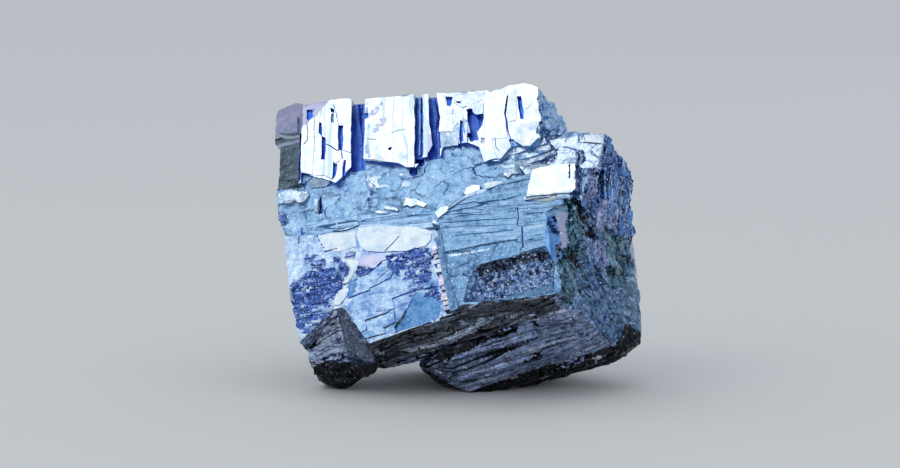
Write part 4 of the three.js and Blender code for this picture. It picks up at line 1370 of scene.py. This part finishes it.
      fray=0.4),
    on_right(((14.6, 0.2), (20, -1), (20, -8.5), (15.6, -9.4), (12.8, -8), (11.8, -4.8)), STEEL, 0.35,
      (0.03, 0), 0.25),
    # The foot of the side, near black: painted shade.
    on_right(((14.4, -10.2), (24, -9), (24, -14), (14, -13)), SOLE, fray=0.2, facing=-0.2),
    # Underneath: the ledge under the lower face, the ridged heel, and the dark soles.
    Zone(UNDER, (-15.5, -9.3), ((-8.6, -1), (16.5, -3), (16.5, 1.4), (8, 4.6), (-3, 7.2), (-8.8, 8)), LEDGE,
      facing=0.25, fray=0.1),
    Zone(UNDER, (-15.5, -9.3), ((-4.4, 3.3), (-0.6, 2.7), (5.7, 1.3), (12.2, 0.4), (12.2, 1), (5.7, 2.2),
      (-0.5, 3.6), (-3.3, 4.2)), LEDGE_LIGHT, 0.25, facing=0.05, fray=0.15),
    Zone(UNDER, (-15.5, -9.3), ((-9, 3), (-7, 3.1), (-6.9, 3.6), (-8.9, 3.6)), LEDGE_LIGHT, 0.15,
      facing=0.05, fray=0.2),
    Zone(UNDER, (-17, -9.6), ((-2.5, 9.4), (0.6, 5.6), (8, 4.9), (13, 4.2), (17.3, 1), (17.4, 5.4),
      (18.4, 11.3), (19.4, 12.6), (0, 12.6)), HEEL, facing=0.05, fray=0.2),
    on_soles(((-5, 9.4), (-2.4, 9.4), (0.5, 12), (9, 12.2), (18, 13.2), (21.5, 14.6), (24, 14), (24, 30),
      (-5, 30)), SOLE, facing=-0.2, fray=0.2),
    Zone(UNDER, (-17, -9.6), ((-4, 7.8), (0.5, 6), (8, 5), (13, 4.3), (12.8, 3.5), (8, 4), (0, 5),
      (-4, 6.4)), SOLE, -0.3, facing=0.05, fray=0.25),
    # Small bright spots among the dark soles: painted glints, most on patches raised a little.
    on_soles(((12.6, 12), (17.8, 12.5), (19.2, 15.4), (17.2, 16.6), (13.4, 14.8)), LILAC_ROUGH, facing=-0.2,
      cover=0.42, block=(0.8, 0.45)),
    on_soles(((6.1, 11.3), (7, 11.4), (7.1, 12.2), (6.3, 12.1)), LILAC, 0.1, facing=-0.2, fray=0.1),
    on_soles(((7.2, 12.1), (8, 12.2), (8, 12.6), (7.3, 12.5)), LILAC, 0.1, facing=-0.2, fray=0.1),
    on_soles(((10, 14.9), (11, 15), (11.1, 15.6), (10.1, 15.6)), LILAC, 0.1, facing=-0.2, fray=0.1),
    on_soles(((-16.9, 7.4), (-16.1, 7.5), (-16, 8.3), (-16.7, 8.3)), FRESH, 0.1, facing=-0.2, fray=0.1),
    on_soles(((17.2, 14.5), (18.1, 14.6), (18.2, 15.5), (17.4, 15.5)), FRESH, 0.2, facing=-0.2, fray=0.08),
    Zone(UNDER, (-17, -12.9), ((-21, 1), (-8.2, 1), (-8.2, 14), (-21, 14)), SOLE, facing=0.75, fray=0.1),
)


# ---------------------------------------------------------------- the lump


@dataclass
class Skin:
    """A closed mesh of triangles in cube axes, each with the number of its finish.

    Attributes:
        points: Corner places in mm.
        faces: Three corners a face.
        kinds: Number of each face's finish.
    """

    points: Array
    faces: Array
    kinds: Array

    @classmethod
    def of(cls, mesh: bpy.types.Mesh) -> "Skin":
        """The skin of a Blender mesh, with no finish chosen yet."""
        shape = bmesh.new()
        shape.from_mesh(mesh)
        bmesh.ops.remove_doubles(shape, verts=shape.verts, dist=WELD)
        bmesh.ops.dissolve_degenerate(shape, edges=shape.edges, dist=WELD)
        bmesh.ops.triangulate(shape, faces=shape.faces)
        skin = cls.evened(shape)
        shape.free()
        return skin

    @classmethod
    def evened(cls, shape: bmesh.types.BMesh) -> "Skin":
        """The skin of a shape of triangles, once edges that lie in a flat are turned to leave no slivers."""
        shape.normal_update()
        paired = [e for e in shape.edges if len(e.link_faces) == 2]
        flat = [e for e in paired if e.calc_face_angle(1.0) < IN_ONE_FLAT]
        bmesh.ops.beautify_fill(shape, faces=shape.faces, edges=flat, method="ANGLE")
        shape.verts.index_update()
        points = np.array([v.co[:] for v in shape.verts])
        faces = np.array([[v.index for v in f.verts] for f in shape.faces])
        return cls(points, faces, np.zeros(len(faces), int))

    def even_out(self) -> None:
        """Turns edges that lie in a flat, so that no slivers are left."""
        mesh = bpy.data.meshes.new("skin")
        mesh.from_pydata(self.points.tolist(), [], self.faces.tolist())
        shape = bmesh.new()
        shape.from_mesh(mesh)
        fresh = Skin.evened(shape)
        self.points, self.faces, self.kinds = fresh.points, fresh.faces, fresh.kinds
        shape.free()
        bpy.data.meshes.remove(mesh)

    def normals(self) -> Array:
        """Unit normal of each face."""
        corner = self.points[self.faces]
        cross = np.cross(corner[:, 1] - corner[:, 0], corner[:, 2] - corner[:, 0])
        return cross / np.maximum(np.linalg.norm(cross, axis=1, keepdims=True), TINY_AREA)

    def middles(self) -> Array:
        """Middle of each face."""
        return self.points[self.faces].mean(axis=1)

    def refine(self, limits: Array, rounds: int = 12) -> None:
        """Splits edges longer than the limit of either face beside them, until none is left.

        Args:
            limits: Longest edge for each finish number, in mm.
            rounds: Most passes to make.
        """
        for _ in range(rounds):
            pairs = self.faces[:, [0, 1, 1, 2, 2, 0]].reshape(-1, 2)
            ordered = np.sort(pairs, axis=1)
            keys, where = np.unique(ordered[:, 0] * len(self.points) + ordered[:, 1], return_inverse=True)
            start, end = keys // len(self.points), keys % len(self.points)
            length = np.linalg.norm(self.points[start] - self.points[end], axis=1)
            limit = np.full(len(keys), np.inf)
            np.minimum.at(limit, where.ravel(), np.repeat(limits[self.kinds], 3))
            split = length > limit
            if not split.any():
                break
            where = where.reshape(-1, 3)
            longest = np.argmax(length[where], axis=1)
            while True:
                touched = split[where].any(axis=1)
                wanted = where[touched, longest[touched]]
                if split[wanted].all():
                    break
                split[wanted] = True
            number = np.full(len(keys), -1)
            number[split] = len(self.points) + np.arange(split.sum())
            middle = (self.points[start[split]] + self.points[end[split]]) / 2
            self.points = np.vstack([self.points, middle])
            self._split_faces(number[where], longest)

    def _split_faces(self, middle: Array, longest: Array) -> None:
        """Replaces each face whose edges were split by its two, three or four parts.

        Args:
            middle: New corner on each face's three edges, or -1.
            longest: Which edge of each face is longest.
        """
        turn = (longest[:, None] + np.arange(3)) % 3
        a, b, c = np.take_along_axis(self.faces, turn, axis=1).T
        m, right, left = np.take_along_axis(middle, turn, axis=1).T
        cut, far, near = m >= 0, right >= 0, left >= 0
        recipes = (
            (~cut, (a, b, c)),
            (cut & ~far, (m, b, c)),
            (cut & ~near, (a, m, c)),
            (cut & far, (m, b, right)),
            (cut & far, (m, right, c)),
            (cut & near, (a, m, left)),
            (cut & near, (m, c, left)),
        )
        kinds = self.kinds
        parts = [np.stack([column[chosen] for column in corners], axis=1) for chosen, corners in recipes]
        self.faces = np.vstack(parts)
        self.kinds = np.concatenate([kinds[chosen] for chosen, _ in recipes])


@dataclass(frozen=True)
class Surfacer:
    """Breaks up each kind of surface by moving its corners in or out.

    Attributes:
        undulation: Swing in mm of the plates that stay smooth.
        grain_step: Height between grains of the band in mm.
        torn_step: Height of the cube-shaped pits in mm.
        growth_step: Height of a growth step on the forward cube in mm.
        druse_cube: Size of the druse's cubes in mm.
        ridge_height: Height of the ridges underneath in mm.
        hackle: Height of the splinters on the broken side in mm.
        back_step: Height of the steps on the back in mm.
    """

    undulation: float = 0.03
    grain_step: float = 0.1
    torn_step: float = 0.1
    growth_step: float = 0.1
    druse_cube: float = 0.42
    ridge_height: float = 0.6
    hackle: float = 0.42
    back_step: float = 0.5

    def height(self, relief: Relief, side: Side, places: Array) -> Array:
        """How far outward each point of one relief moves.

        Args:
            relief: How the surface there is broken up.
            side: Which way the surface looks.
            places: Points in cube axes in mm.

        Returns:
            Outward distance in mm.
        """
        if relief is Relief.RIDGED:
            return self.ridged(places)
        flat = places[:, [k for k in (0, 1, 2) if k != side.value[0]]]
        return getattr(self, relief.value)(flat)

    def smooth(self, flat: Array) -> Array:
        """A barely wavy cleavage plate."""
        return self.undulation * swell(flat, 3.4, 3) + 0.3 * self.undulation * swell(flat, 1.1, 4)

    def stacked(self, flat: Array) -> Array:
        """Little stacked plates, which are no rougher than a large one."""
        return self.smooth(flat)

    def granular(self, flat: Array) -> Array:
        """Tilted grains, some with a sunk joint between them."""
        bent = flat + 0.4 * np.stack([swell(flat, 1.5, 11), swell(flat, 1.5, 12)], axis=1)
        large, small = Grains.over(bent * (0.9, 1.2), 2.7, 5), Grains.over(bent, 1.0, 15)
        height = self.grain_step * (large.number[:, 2] - 0.5) + large.tilted(0.13)
        height += 0.3 * self.grain_step * (small.number[:, 2] - 0.5) + small.tilted(0.16)
        joint = ramp(swell(flat, 2.6, 17), 0.0, 0.7)
        return height - 0.12 * joint * np.clip(1 - large.edge / 0.07, 0, 1) + 0.02 * swell(flat, 0.5, 19)

    def cubelets(self, flat: Array) -> Array:
        """Narrow pits laid along and across the cleavage."""
        height = self.torn_step * (blocks(flat, (2.0, 0.38), 21) + 0.6 * blocks(flat, (0.45, 1.1), 24))
        return height + 0.03 * swell(flat, 0.25, 27)

    def striated(self, flat: Array) -> Array:
        """Growth steps that run across, each leaning forward at its foot."""
        across = flat[:, 1] + 0.012 * flat[:, 0] + 0.15 * swell(flat * (0.3, 1.0), 1.5, 31)
        broad, fine = saw(across, flat[:, 0], 1.05, 0.2, 33), saw(across, flat[:, 0], 0.5, 0.3, 36)
        height = self.growth_step * (broad + 0.6 * fine) + 0.03 * swell(flat, 0.9, 39)
        return height + Grains.over(flat * (0.5, 1.3), 0.7, 41).tilted(0.12)

    def drusy(self, flat: Array) -> Array:
        """A crust of little cube corners that point every way."""
        crust = Grains.over(flat, self.druse_cube, 51)
        height = crust.tilted(1.3) + 0.14 * (crust.number[:, 2] - 0.5) + 0.12 * swell(flat, 2.2, 58)
        return height - 0.05 * np.clip(1 - crust.edge / 0.25, 0, 1)

    def ridged(self, places: Array) -> Array:
        """Long ridges that run across the underside, fanning a little, with crumbs between."""
        along, back, up = places.T
        lean = 0.19 * (1 - ramp(back, 3.0, 6.0)) * ramp(along, -10, -6)
        slant = 0.24 * (1 - ramp(along, -11.5, -8.5))
        across = back + (lean + slant) * along - 0.25 * up * (slant > 0.12)
        across = across + 0.16 * swell(np.stack([along * 0.25, across], axis=1), 1.6, 61)
        height = saw(across, along, 1.7, 0.25, 63) + 0.55 * saw(across, along, 0.75, 0.3, 66)
        height = self.ridge_height * height + 0.1 * swell(np.stack([along * 0.3, across], axis=1), 0.5, 69)
        crumbs = Grains.over(np.stack([along * 0.6, across], axis=1), 0.6, 71)
        return height + 0.05 * (crumbs.number[:, 2] - 0.5) + crumbs.tilted(0.3)

    def hackly(self, flat: Array) -> Array:
        """Slanting splinters of many sizes."""
        slanted = np.stack([flat[:, 0] + 0.5 * flat[:, 1], flat[:, 1] - 0.5 * flat[:, 0]], axis=1)
        slanted = slanted + 0.35 * np.stack([swell(flat, 1.4, 81), swell(flat, 1.4, 82)], axis=1)
        long = Grains.over(slanted * (0.4, 1.0), 1.2, 83)
        short = Grains.over(slanted * (0.6, 1.0), 0.55, 86)
        height = self.hackle * (long.number[:, 2] - 0.5) + long.tilted(0.7)
        height += 0.35 * self.hackle * (short.number[:, 2] - 0.5) + short.tilted(0.5)
        return height + 0.5 * self.hackle * swell(flat, 3.5, 89)

    def columns(self, flat: Array) -> Array:
        """Upright columns of uneven width, broken off here and there."""
        across = flat[:, 0] + 0.2 * swell(flat * (1.0, 0.35), 0.9, 121)
        height = np.zeros(len(flat))
        for width, share, seed in ((1.5, 1.0, 123), (0.6, 0.5, 126)):
            place = across / width + 0.3 * swell(across[:, None], width * 1.5, seed)
            index = np.floor(place)
            break_at = np.floor(flat[:, 1] / 2.6 + 3 * chance([index.astype(np.int64)], seed + 1))
            tall = chance([index.astype(np.int64), break_at.astype(np.int64)], seed + 2)
            round_off = 1 - (2 * (place - index) - 1) ** 2
            height += self.hackle * share * (1.3 * tall - 0.6 + 0.5 * round_off)
        return height + Grains.over(flat * (1.2, 0.6), 0.6, 129).tilted(0.4)

    def weathered(self, flat: Array) -> Array:
        """Broad cleavage steps with smaller ones on them."""
        height = self.back_step * (0.2 * blocks(flat, (4.4, 3.1), 91) + 0.12 * blocks(flat, (1.9, 1.3), 94))
        return height + Grains.over(flat, 2.4, 96).tilted(0.16) + 0.06 * swell(flat, 1.6, 99)

    def barred(self, flat: Array) -> Array:
        """Thin level bars on the dull column."""
        bar = flat[:, 1] / 0.62 + 0.3 * swell(flat[:, 1:2], 1.1, 101)
        index = np.floor(bar)
        height = 0.12 * (chance([index.astype(np.int64)], 103) - 0.5) + 0.08 * (bar - index - 0.5)
        return height + 0.03 * swell(flat, 0.6, 105)

    def bulging(self, flat: Array) -> Array:
        """Rounded lumps crowded together."""
        lump, knob = Grains.over(flat, 2.0, 141), Grains.over(flat, 0.9, 144)
        height = 0.6 * np.sqrt(np.clip(lump.edge, 0, 1)) + 0.15 * np.sqrt(np.clip(knob.edge, 0, 1)) - 0.4
        return height + lump.tilted(0.3) + 0.05 * swell(flat, 0.5, 147)


@dataclass
class Lump:
    """The whole specimen: plates added, cracks cut, surfaces broken up and dressed.

    Attributes:
        name: Name of the piece.
        ridge: The stepped ridge on its front.
        steps: The steps on the sides turned away.
        surfacer: What breaks up its surfaces.
        fade: Where the tarnish of its right side ends.
        coarse: Longest mesh edge anywhere in mm.
        stages: Mesh edges in shares of each finish's reach, from the first pass to the last.
        evened_above: Share above which a pass is followed by turning edges to leave no slivers.
        least_faces: Fewest faces the lump may have left after a boolean for it to count.
        crisp: Angle in degrees above which an edge stays sharp.
        wander: How far the outlines of the front plates wander, in mm.
        wander_depth: Depths in mm between which that wandering dies out.
    """

    name: str = "galena_lump"
    ridge: SteppedRidge = field(default_factory=SteppedRidge)
    steps: CleavageSteps = field(default_factory=CleavageSteps)
    surfacer: Surfacer = field(default_factory=Surfacer)
    fade: Fade = field(default_factory=Fade)
    coarse: float = 1.8
    stages: tuple[float, ...] = (6.0, 3.0, 1.5, 1.0)
    evened_above: float = 1.5
    least_faces: int = 50
    crisp: float = 22.0
    wander: float = 0.06
    wander_depth: Pair = (2.5, 4.0)

    def build(self, node: bpy.types.Object) -> bpy.types.Object:
        """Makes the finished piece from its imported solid.

        Args:
            node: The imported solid.

        Returns:
            The new object, in the part's frame.
        """
        blank = self.copy_in_axes(node)
        features = self.features()
        steps = list(self.steps.blocks(blank))
        for feature in [*steps, *KNOBS, *features]:
            self.work(blank, feature)
        skin = Skin.of(blank.data)
        bpy.data.objects.remove(blank)
        log.info("%s: %d features and %d steps worked in", self.name, len(features), len(steps))
        reaches = np.array([finish.reach for finish in FINISHES])
        for share in self.stages:
            self.choose_kinds(skin, features)
            skin.refine(np.minimum(reaches * share, self.coarse))
            if share > self.evened_above:
                skin.even_out()
            log.info("  %d faces at %.1f of the last reach", len(skin.faces), share)
        zones = self.choose_kinds(skin, features)
        self.displace(skin, zones)
        return self.finished(skin)

    def features(self) -> list[Plate]:
        """Every plate, pit and crack in the order they are made."""
        found = [*UPPER_PLATES, *MIDDLE_PLATES, *LOWER_PLATES, *self.ridge.plates(), *FORWARD_PLATES]
        for crack in CRACKS:
            found.extend(crack.plates())
        return found

    def copy_in_axes(self, node: bpy.types.Object) -> bpy.types.Object:
        """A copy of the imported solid, turned into cube axes in mm."""
        mesh = node.data.copy()
        places = np.zeros(len(mesh.vertices) * 3)
        mesh.vertices.foreach_get("co", places)
        mesh.vertices.foreach_set("co", AXES.inward(places.reshape(-1, 3)).ravel())
        shape = bmesh.new()
        shape.from_mesh(mesh)
        bmesh.ops.remove_doubles(shape, verts=shape.verts, dist=SOLID_WELD)
        shape.to_mesh(mesh)
        shape.free()
        mesh.materials.clear()
        return placed("blank", mesh)

    def work(self, blank: bpy.types.Object, feature: Plate | Block | Knob) -> None:
        """Grows one feature on the blank, or breaks it away.

        Args:
            blank: The lump in cube axes, which is changed.
            feature: What to grow or break away.
        """
        tool = placed(feature.name, feature.mesh())
        change = blank.modifiers.new(feature.name, "BOOLEAN")
        change.operation = feature.work.value
        change.object = tool
        change.solver = "MANIFOLD"
        depsgraph = bpy.context.evaluated_depsgraph_get()
        worked = bpy.data.meshes.new_from_object(blank.evaluated_get(depsgraph))
        blank.modifiers.clear()
        if len(worked.polygons) < self.least_faces:
            log.warning("%s left nothing, so it was skipped", feature.name)
        else:
            blank.data = worked
        bpy.data.objects.remove(tool)

    def choose_kinds(self, skin: Skin, features: Sequence[Plate]) -> Array:
        """Gives each face of the skin the number of its finish.

        Args:
            skin: The skin to mark.
            features: The plates and pits, whose own faces take their own finish.

        Returns:
            The number of the zone each face lies in, or -1.
        """
        middles, normals = skin.middles(), skin.normals()
        kinds = np.full(len(middles), NUMBER[WEATHERED.name])
        for region in REGIONS:
            kinds[region.holds(middles, normals)] = NUMBER[region.finish.name]
        for feature in features:
            kinds[feature.claims(middles, normals)] = NUMBER[feature.finish.name]
        zones = np.full(len(middles), -1)
        for k, zone in enumerate(ZONES):
            held = zone.holds(middles, normals)
            kinds[held] = NUMBER[zone.finish.name]
            zones[held] = k
        faded = self.fade.holds(middles, normals)
        kinds[faded] = NUMBER[WEATHERED.name]
        zones[faded] = -1
        skin.kinds = kinds
        return zones

    def displace(self, skin: Skin, zones: Array) -> None:
        """Moves every corner of the skin in or out by the relief of the faces around it.

        Args:
            skin: The skin to move.
            zones: The zone each face lies in, or -1.
        """
        normals = skin.normals()
        sides = side_of(normals)
        reliefs = np.array([list(Relief).index(finish.relief) for finish in FINISHES])[skin.kinds]
        rise = np.zeros((len(skin.faces), 3))
        for k, relief in enumerate(Relief):
            for at, side in enumerate(Side):
                chosen = np.flatnonzero((reliefs == k) & (sides == at))
                if len(chosen):
                    corners, where = np.unique(skin.faces[chosen], return_inverse=True)
                    height = self.surfacer.height(relief, side, skin.points[corners])
                    rise[chosen] = height[where].reshape(-1, 3)
        for k, zone in enumerate(ZONES):
            held = zones == k
            if held.any() and (zone.lift or any(zone.tilt)):
                rise[held] += zone.height(skin.points[skin.faces[held].ravel()]).reshape(-1, 3)
        total, count = np.zeros(len(skin.points)), np.zeros(len(skin.points))
        lean = np.zeros_like(skin.points)
        for corner in range(3):
            np.add.at(total, skin.faces[:, corner], rise[:, corner])
            np.add.at(count, skin.faces[:, corner], 1)
            np.add.at(lean, skin.faces[:, corner], normals)
        lean /= np.maximum(np.linalg.norm(lean, axis=1, keepdims=True), TINY)
        skin.points = skin.points + lean * (total / np.maximum(count, 1))[:, None]
        flat = skin.points[:, [0, 2]]
        amount = self.wander * (1 - ramp(skin.points[:, 1], *self.wander_depth))
        for axis, seed in ((0, 131), (2, 135)):
            skin.points[:, axis] += amount * (swell(flat, 0.9, seed) + 0.5 * swell(flat, 0.35, seed + 1))

    def finished(self, skin: Skin) -> bpy.types.Object:
        """The piece as a Blender object in the part's frame, inside the solid's own box."""
        places = np.clip(AXES.outward(skin.points), np.array(CAD_BOX[0]), np.array(CAD_BOX[1]))
        mesh = bpy.data.meshes.new(self.name)
        mesh.from_pydata(places.tolist(), [], skin.faces.tolist())
        for finish in FINISHES:
            mesh.materials.append(Dresser(finish).material())
        mesh.polygons.foreach_set("material_index", skin.kinds.astype(np.int32))
        mesh.polygons.foreach_set("use_smooth", np.array([finish.smooth for finish in FINISHES])[skin.kinds])
        mesh.set_sharp_from_angle(angle=math.radians(self.crisp))
        mesh.update()
        return placed(self.name, mesh)


# ---------------------------------------------------------------- materials


def add_node(
    tree: bpy.types.NodeTree, kind: str, values: dict[str | int, Any] | None = None, **settings: Any
) -> bpy.types.Node:
    """Adds a node with its settings, and its inputs as values or links.

    Args:
        tree: The material's nodes.
        kind: Blender's name for the node type, after ShaderNode.
        values: Input name or number to a value, or to the output socket that feeds it.
        **settings: Node properties.

    Returns:
        The new node.
    """
    node = tree.nodes.new("ShaderNode" + kind)
    for key, value in settings.items():
        setattr(node, key, value)
    for key, value in (values or {}).items():
        if isinstance(value, bpy.types.NodeSocket):
            tree.links.new(value, node.inputs[key])
        else:
            node.inputs[key].default_value = value
    return node


@dataclass(frozen=True)
class Dresser:
    """Makes the material of one finish.

    Attributes:
        finish: The finish.
        drawn_out: How fast the cleavage lines change along themselves, as a share of how fast they do across.
        bend: How far the joints between grains wander, in grains.
        level_span: Half the span of patterns that passes from dull to bright, at a contrast of 1.
        seam_at: Level of the line pattern where dark seams run.
        glint_at: Level of it where bright lines, painted glints, run.
        line_edge: Distance from that level at which a line starts to fade, and at which it is gone.
        rough_span: Levels of the patterns between which the roughness goes from least to most.
    """

    finish: Finish
    drawn_out: float = 0.08
    bend: float = 0.5
    level_span: float = 0.3
    seam_at: float = 0.47
    glint_at: float = 0.58
    line_edge: Pair = (0.006, 0.02)
    rough_span: Pair = (0.3, 0.7)

    def ways(self) -> tuple[tuple[float, ...], ...]:
        """The direction of the finish's cleavage lines, drawn out, and two at right angles to it."""
        way = Vector(self.finish.streak_way).normalized()
        helper = Vector(UPWARD) if abs(way.z) < 0.8 else Vector(ACROSS)
        first = way.cross(helper).normalized()
        along = tuple(self.drawn_out * part for part in self.finish.streak_way)
        return along, tuple(first), tuple(way.cross(first))

    def material(self) -> bpy.types.Material:
        """The finish as a node material, its patterns in mm along the cube axes."""
        finish = self.finish
        made = bpy.data.materials.new(finish.name)
        made.use_nodes = True
        made.node_tree.nodes.clear()
        add = partial(add_node, made.node_tree)

        corner = add("TexCoord").outputs["Object"]
        turn = (math.radians(-AXES.lean), 0, math.radians(-AXES.turn))
        scaled = {"Vector": corner, "Rotation": turn, "Scale": (1 / MM,) * 3}
        place = add("Mapping", scaled).outputs["Vector"]
        along, first, second = (
            add("VectorMath", {0: place, 1: way}, operation="DOT_PRODUCT").outputs["Value"]
            for way in self.ways()
        )
        drawn = add("CombineXYZ", {"X": along, "Y": first, "Z": second}).outputs["Vector"]
        wobble = add("TexNoise", {"Vector": place, "Scale": 1.2 / finish.grain, "Detail": 2.0})
        amount = (self.bend * finish.grain,) * 3
        bent = add("VectorMath", {0: wobble.outputs["Color"], 1: amount}, operation="MULTIPLY")
        bent = add("VectorMath", {0: place, 1: bent.outputs["Vector"]}, operation="ADD")
        grain = add(
            "TexVoronoi",
            {"Vector": bent.outputs["Vector"], "Scale": 1 / finish.grain, "Randomness": 0.9},
            distance="CHEBYCHEV" if finish.square else "EUCLIDEAN",
        )
        cell = add("SeparateColor", {"Color": grain.outputs["Color"]})
        cloud, streak, mottle = (
            add("TexNoise", {"Vector": at, "Scale": 1 / size, "Detail": fine, "Roughness": rough}).outputs[0]
            for at, size, fine, rough in (
                (place, finish.cloud, 5.0, 0.62),
                (drawn, 2 * finish.streak, 3.0, 0.6),
                (place, MOTTLE, 3.0, 0.7),
            )
        )

        # The patterns mixed into one, and that into the colour between dull and bright.
        mixed = cloud
        for layer, share in (
            (cell.outputs["Red"], finish.grain_share), (streak, finish.streak_share), (mottle, finish.mottle)
        ):
            mixed = add("Mix", {0: share, 2: mixed, 3: layer}).outputs[0]
        half = self.level_span / finish.contrast
        middle = 0.5 + self.level_span * (finish.balance - 0.5)
        level = add("MapRange", {"Value": mixed, "From Min": middle - half, "From Max": middle + half})
        layers = [(linear(finish.light), level.outputs["Result"])]

        # Dark seams, and bright lines and flecks painted as glints, over it.
        if finish.seam:
            lines = add("TexNoise", {"Vector": drawn, "Scale": 0.5 / finish.seam, "Detail": 2.0})
            seams = ((self.seam_at, finish.seam_dark, 1.0), (self.glint_at, finish.fleck, finish.seam_glint))
            for where, tint, share in seams:
                off = add("Math", {0: lines.outputs[0], 1: where}, operation="SUBTRACT").outputs[0]
                off = add("Math", {0: off}, operation="ABSOLUTE").outputs[0]
                near, far = self.line_edge
                fading = {"Value": off, "From Min": near, "From Max": far, "To Min": share, "To Max": 0.0}
                layers.append((linear(tint), add("MapRange", fading).outputs["Result"]))
        if finish.fleck_share:
            sparks = add("TexVoronoi", {"Vector": place, "Scale": 1 / SPARK})
            spark = add("SeparateColor", {"Color": sparks.outputs["Color"]}).outputs["Green"]
            odd = add("Math", {0: spark, 1: 1 - finish.fleck_share}, operation="GREATER_THAN")
            layers.append((linear(finish.fleck), odd.outputs["Value"]))
        shade = linear(finish.dark)
        for tint, share in layers:
            shade = add("Mix", {0: share, 6: shade, 7: tint}, data_type="RGBA").outputs[2]

        both = add("Mix", {0: 0.5, 2: cloud, 3: streak}).outputs[0]
        low, high = self.rough_span
        least, most = finish.roughness
        spread = {"Value": both, "From Min": low, "From Max": high, "To Min": least, "To Max": most}
        rough = add("MapRange", spread).outputs["Result"]
        fine = add("Mix", {0: 0.6, 2: cell.outputs["Blue"], 3: streak}).outputs[0]
        fine = add("Mix", {0: 0.3, 2: fine, 3: cloud}).outputs[0]
        bump = add("Bump", {"Height": fine, "Strength": 1.0, "Distance": finish.bump * MM})
        metal = {"Base Color": shade, "Metallic": 1.0, "Roughness": rough, "Normal": bump.outputs["Normal"]}
        shader = add("BsdfPrincipled", metal)
        add("OutputMaterial", {"Surface": shader.outputs["BSDF"]})
        return made


# ---------------------------------------------------------------- studio


@dataclass(frozen=True)
class Floor:
    """A plain pale floor of matt board.

    Attributes:
        half: Half its width in metres.
        segments: How many squares it has each way.
        colour: sRGB colour of the board.
        roughness: Roughness of the board, whose matt face gives no reflection.
    """

    half: float = 4.0
    segments: int = 8
    colour: str = "#ece7de"
    roughness: float = 0.8

    def build(self) -> bpy.types.Object:
        """The floor, flat at height 0."""
        shape = bmesh.new()
        bmesh.ops.create_grid(shape, x_segments=self.segments, y_segments=self.segments, size=self.half)
        mesh = mesh_of(shape, "floor")
        board = bpy.data.materials.new("pale_board")
        board.use_nodes = True
        shader = board.node_tree.nodes["Principled BSDF"]
        shader.inputs["Base Color"].default_value = linear(self.colour)
        shader.inputs["Roughness"].default_value = self.roughness
        mesh.materials.append(board)
        return placed("floor", mesh)


@dataclass(frozen=True)
class Softbox:
    """A studio light.

    Attributes:
        name: What it is.
        toward: Direction from the lump to it.
        distance: Metres from the lump.
        size: Width and height in metres.
        brightness: How bright its face looks, where 1 is white paper in full light.
        colour: sRGB colour.
        aim: Point it shines at, in metres.
    """

    name: str
    toward: Triple
    distance: float
    size: Pair
    brightness: float
    colour: str = "#ffffff"
    aim: Triple = (0.0, 0.0, 0.018)

    def build(self) -> bpy.types.Object:
        """The light, aimed at the middle of the lump."""
        aim = Vector(self.aim)
        place = aim + Vector(self.toward).normalized() * self.distance
        data = bpy.data.lights.new(self.name, "AREA")
        data.shape = "RECTANGLE"
        data.size, data.size_y = self.size
        data.energy = self.brightness * math.pi * self.size[0] * self.size[1]
        data.color = linear(self.colour)[:3]
        light = placed(self.name, data)
        light.location = place
        light.rotation_euler = (aim - place).to_track_quat("-Z", "Y").to_euler()
        return light


SOFTBOXES: tuple[Softbox, ...] = (
    Softbox("key_softbox", (-0.50, -0.42, 0.76), 0.62, (0.34, 0.34), 1.0),
    Softbox("back_right_strip", (0.62, 0.75, 0.12), 0.6, (0.06, 0.3), 1.6, "#e4ecff"),
    Softbox("low_left_glint", (-0.8, -0.5, 0.12), 0.6, (0.05, 0.12), 2.5),
    Softbox("front_glint", (0.18, -0.95, 0.3), 0.6, (0.04, 0.04), 9.0),
)


@dataclass(frozen=True)
class Studio:
    """Floor, lights and camera.

    Attributes:
        look_at: Point the camera looks at, in metres.
        stand: Where the camera stands, in metres.
        lens: Focal length in mm.
        sensor: Width of the camera's sensor in mm.
        nearest: Nearest the camera sees, in metres.
        surround: sRGB colour of the soft surround.
        surround_strength: How bright the surround is.
    """

    look_at: Triple = (-0.000855, 0.00319, 0.01904)
    stand: Triple = (-0.000855, -0.41368, 0.07022)
    lens: float = 129.4
    sensor: float = 36.0
    nearest: float = 0.01
    surround: str = "#c6d0de"
    surround_strength: float = 1.0

    def build(self) -> None:
        """Makes the floor, the lights, the surround and the camera."""
        Floor().build()
        for softbox in SOFTBOXES:
            softbox.build()
        world = bpy.data.worlds.new("soft_surround")
        world.use_nodes = True
        background = world.node_tree.nodes["Background"]
        background.inputs["Color"].default_value = linear(self.surround)
        background.inputs["Strength"].default_value = self.surround_strength
        bpy.context.scene.world = world
        bpy.context.scene.view_settings.view_transform = "Standard"
        data = bpy.data.cameras.new("camera")
        data.lens = self.lens
        data.sensor_width = self.sensor
        data.clip_start = self.nearest
        camera = placed("camera", data)
        camera.location = self.stand
        way = Vector(self.look_at) - Vector(self.stand)
        camera.rotation_euler = way.to_track_quat("-Z", "Y").to_euler()
        bpy.context.scene.camera = camera


def main() -> None:
    """Builds the lump and the studio."""
    logging.basicConfig(level=logging.INFO, format="%(message)s")
    lump = Lump().build(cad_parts[CAD_NODE])
    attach(lump, BODY)
    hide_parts(CAD_NODE)
    log.info("%s: %d faces", lump.name, len(lump.data.polygons))
    Studio().build()
    log.info("studio: floor, %d softboxes, surround and camera", len(SOFTBOXES))


if __name__ == "__main__":
    main()
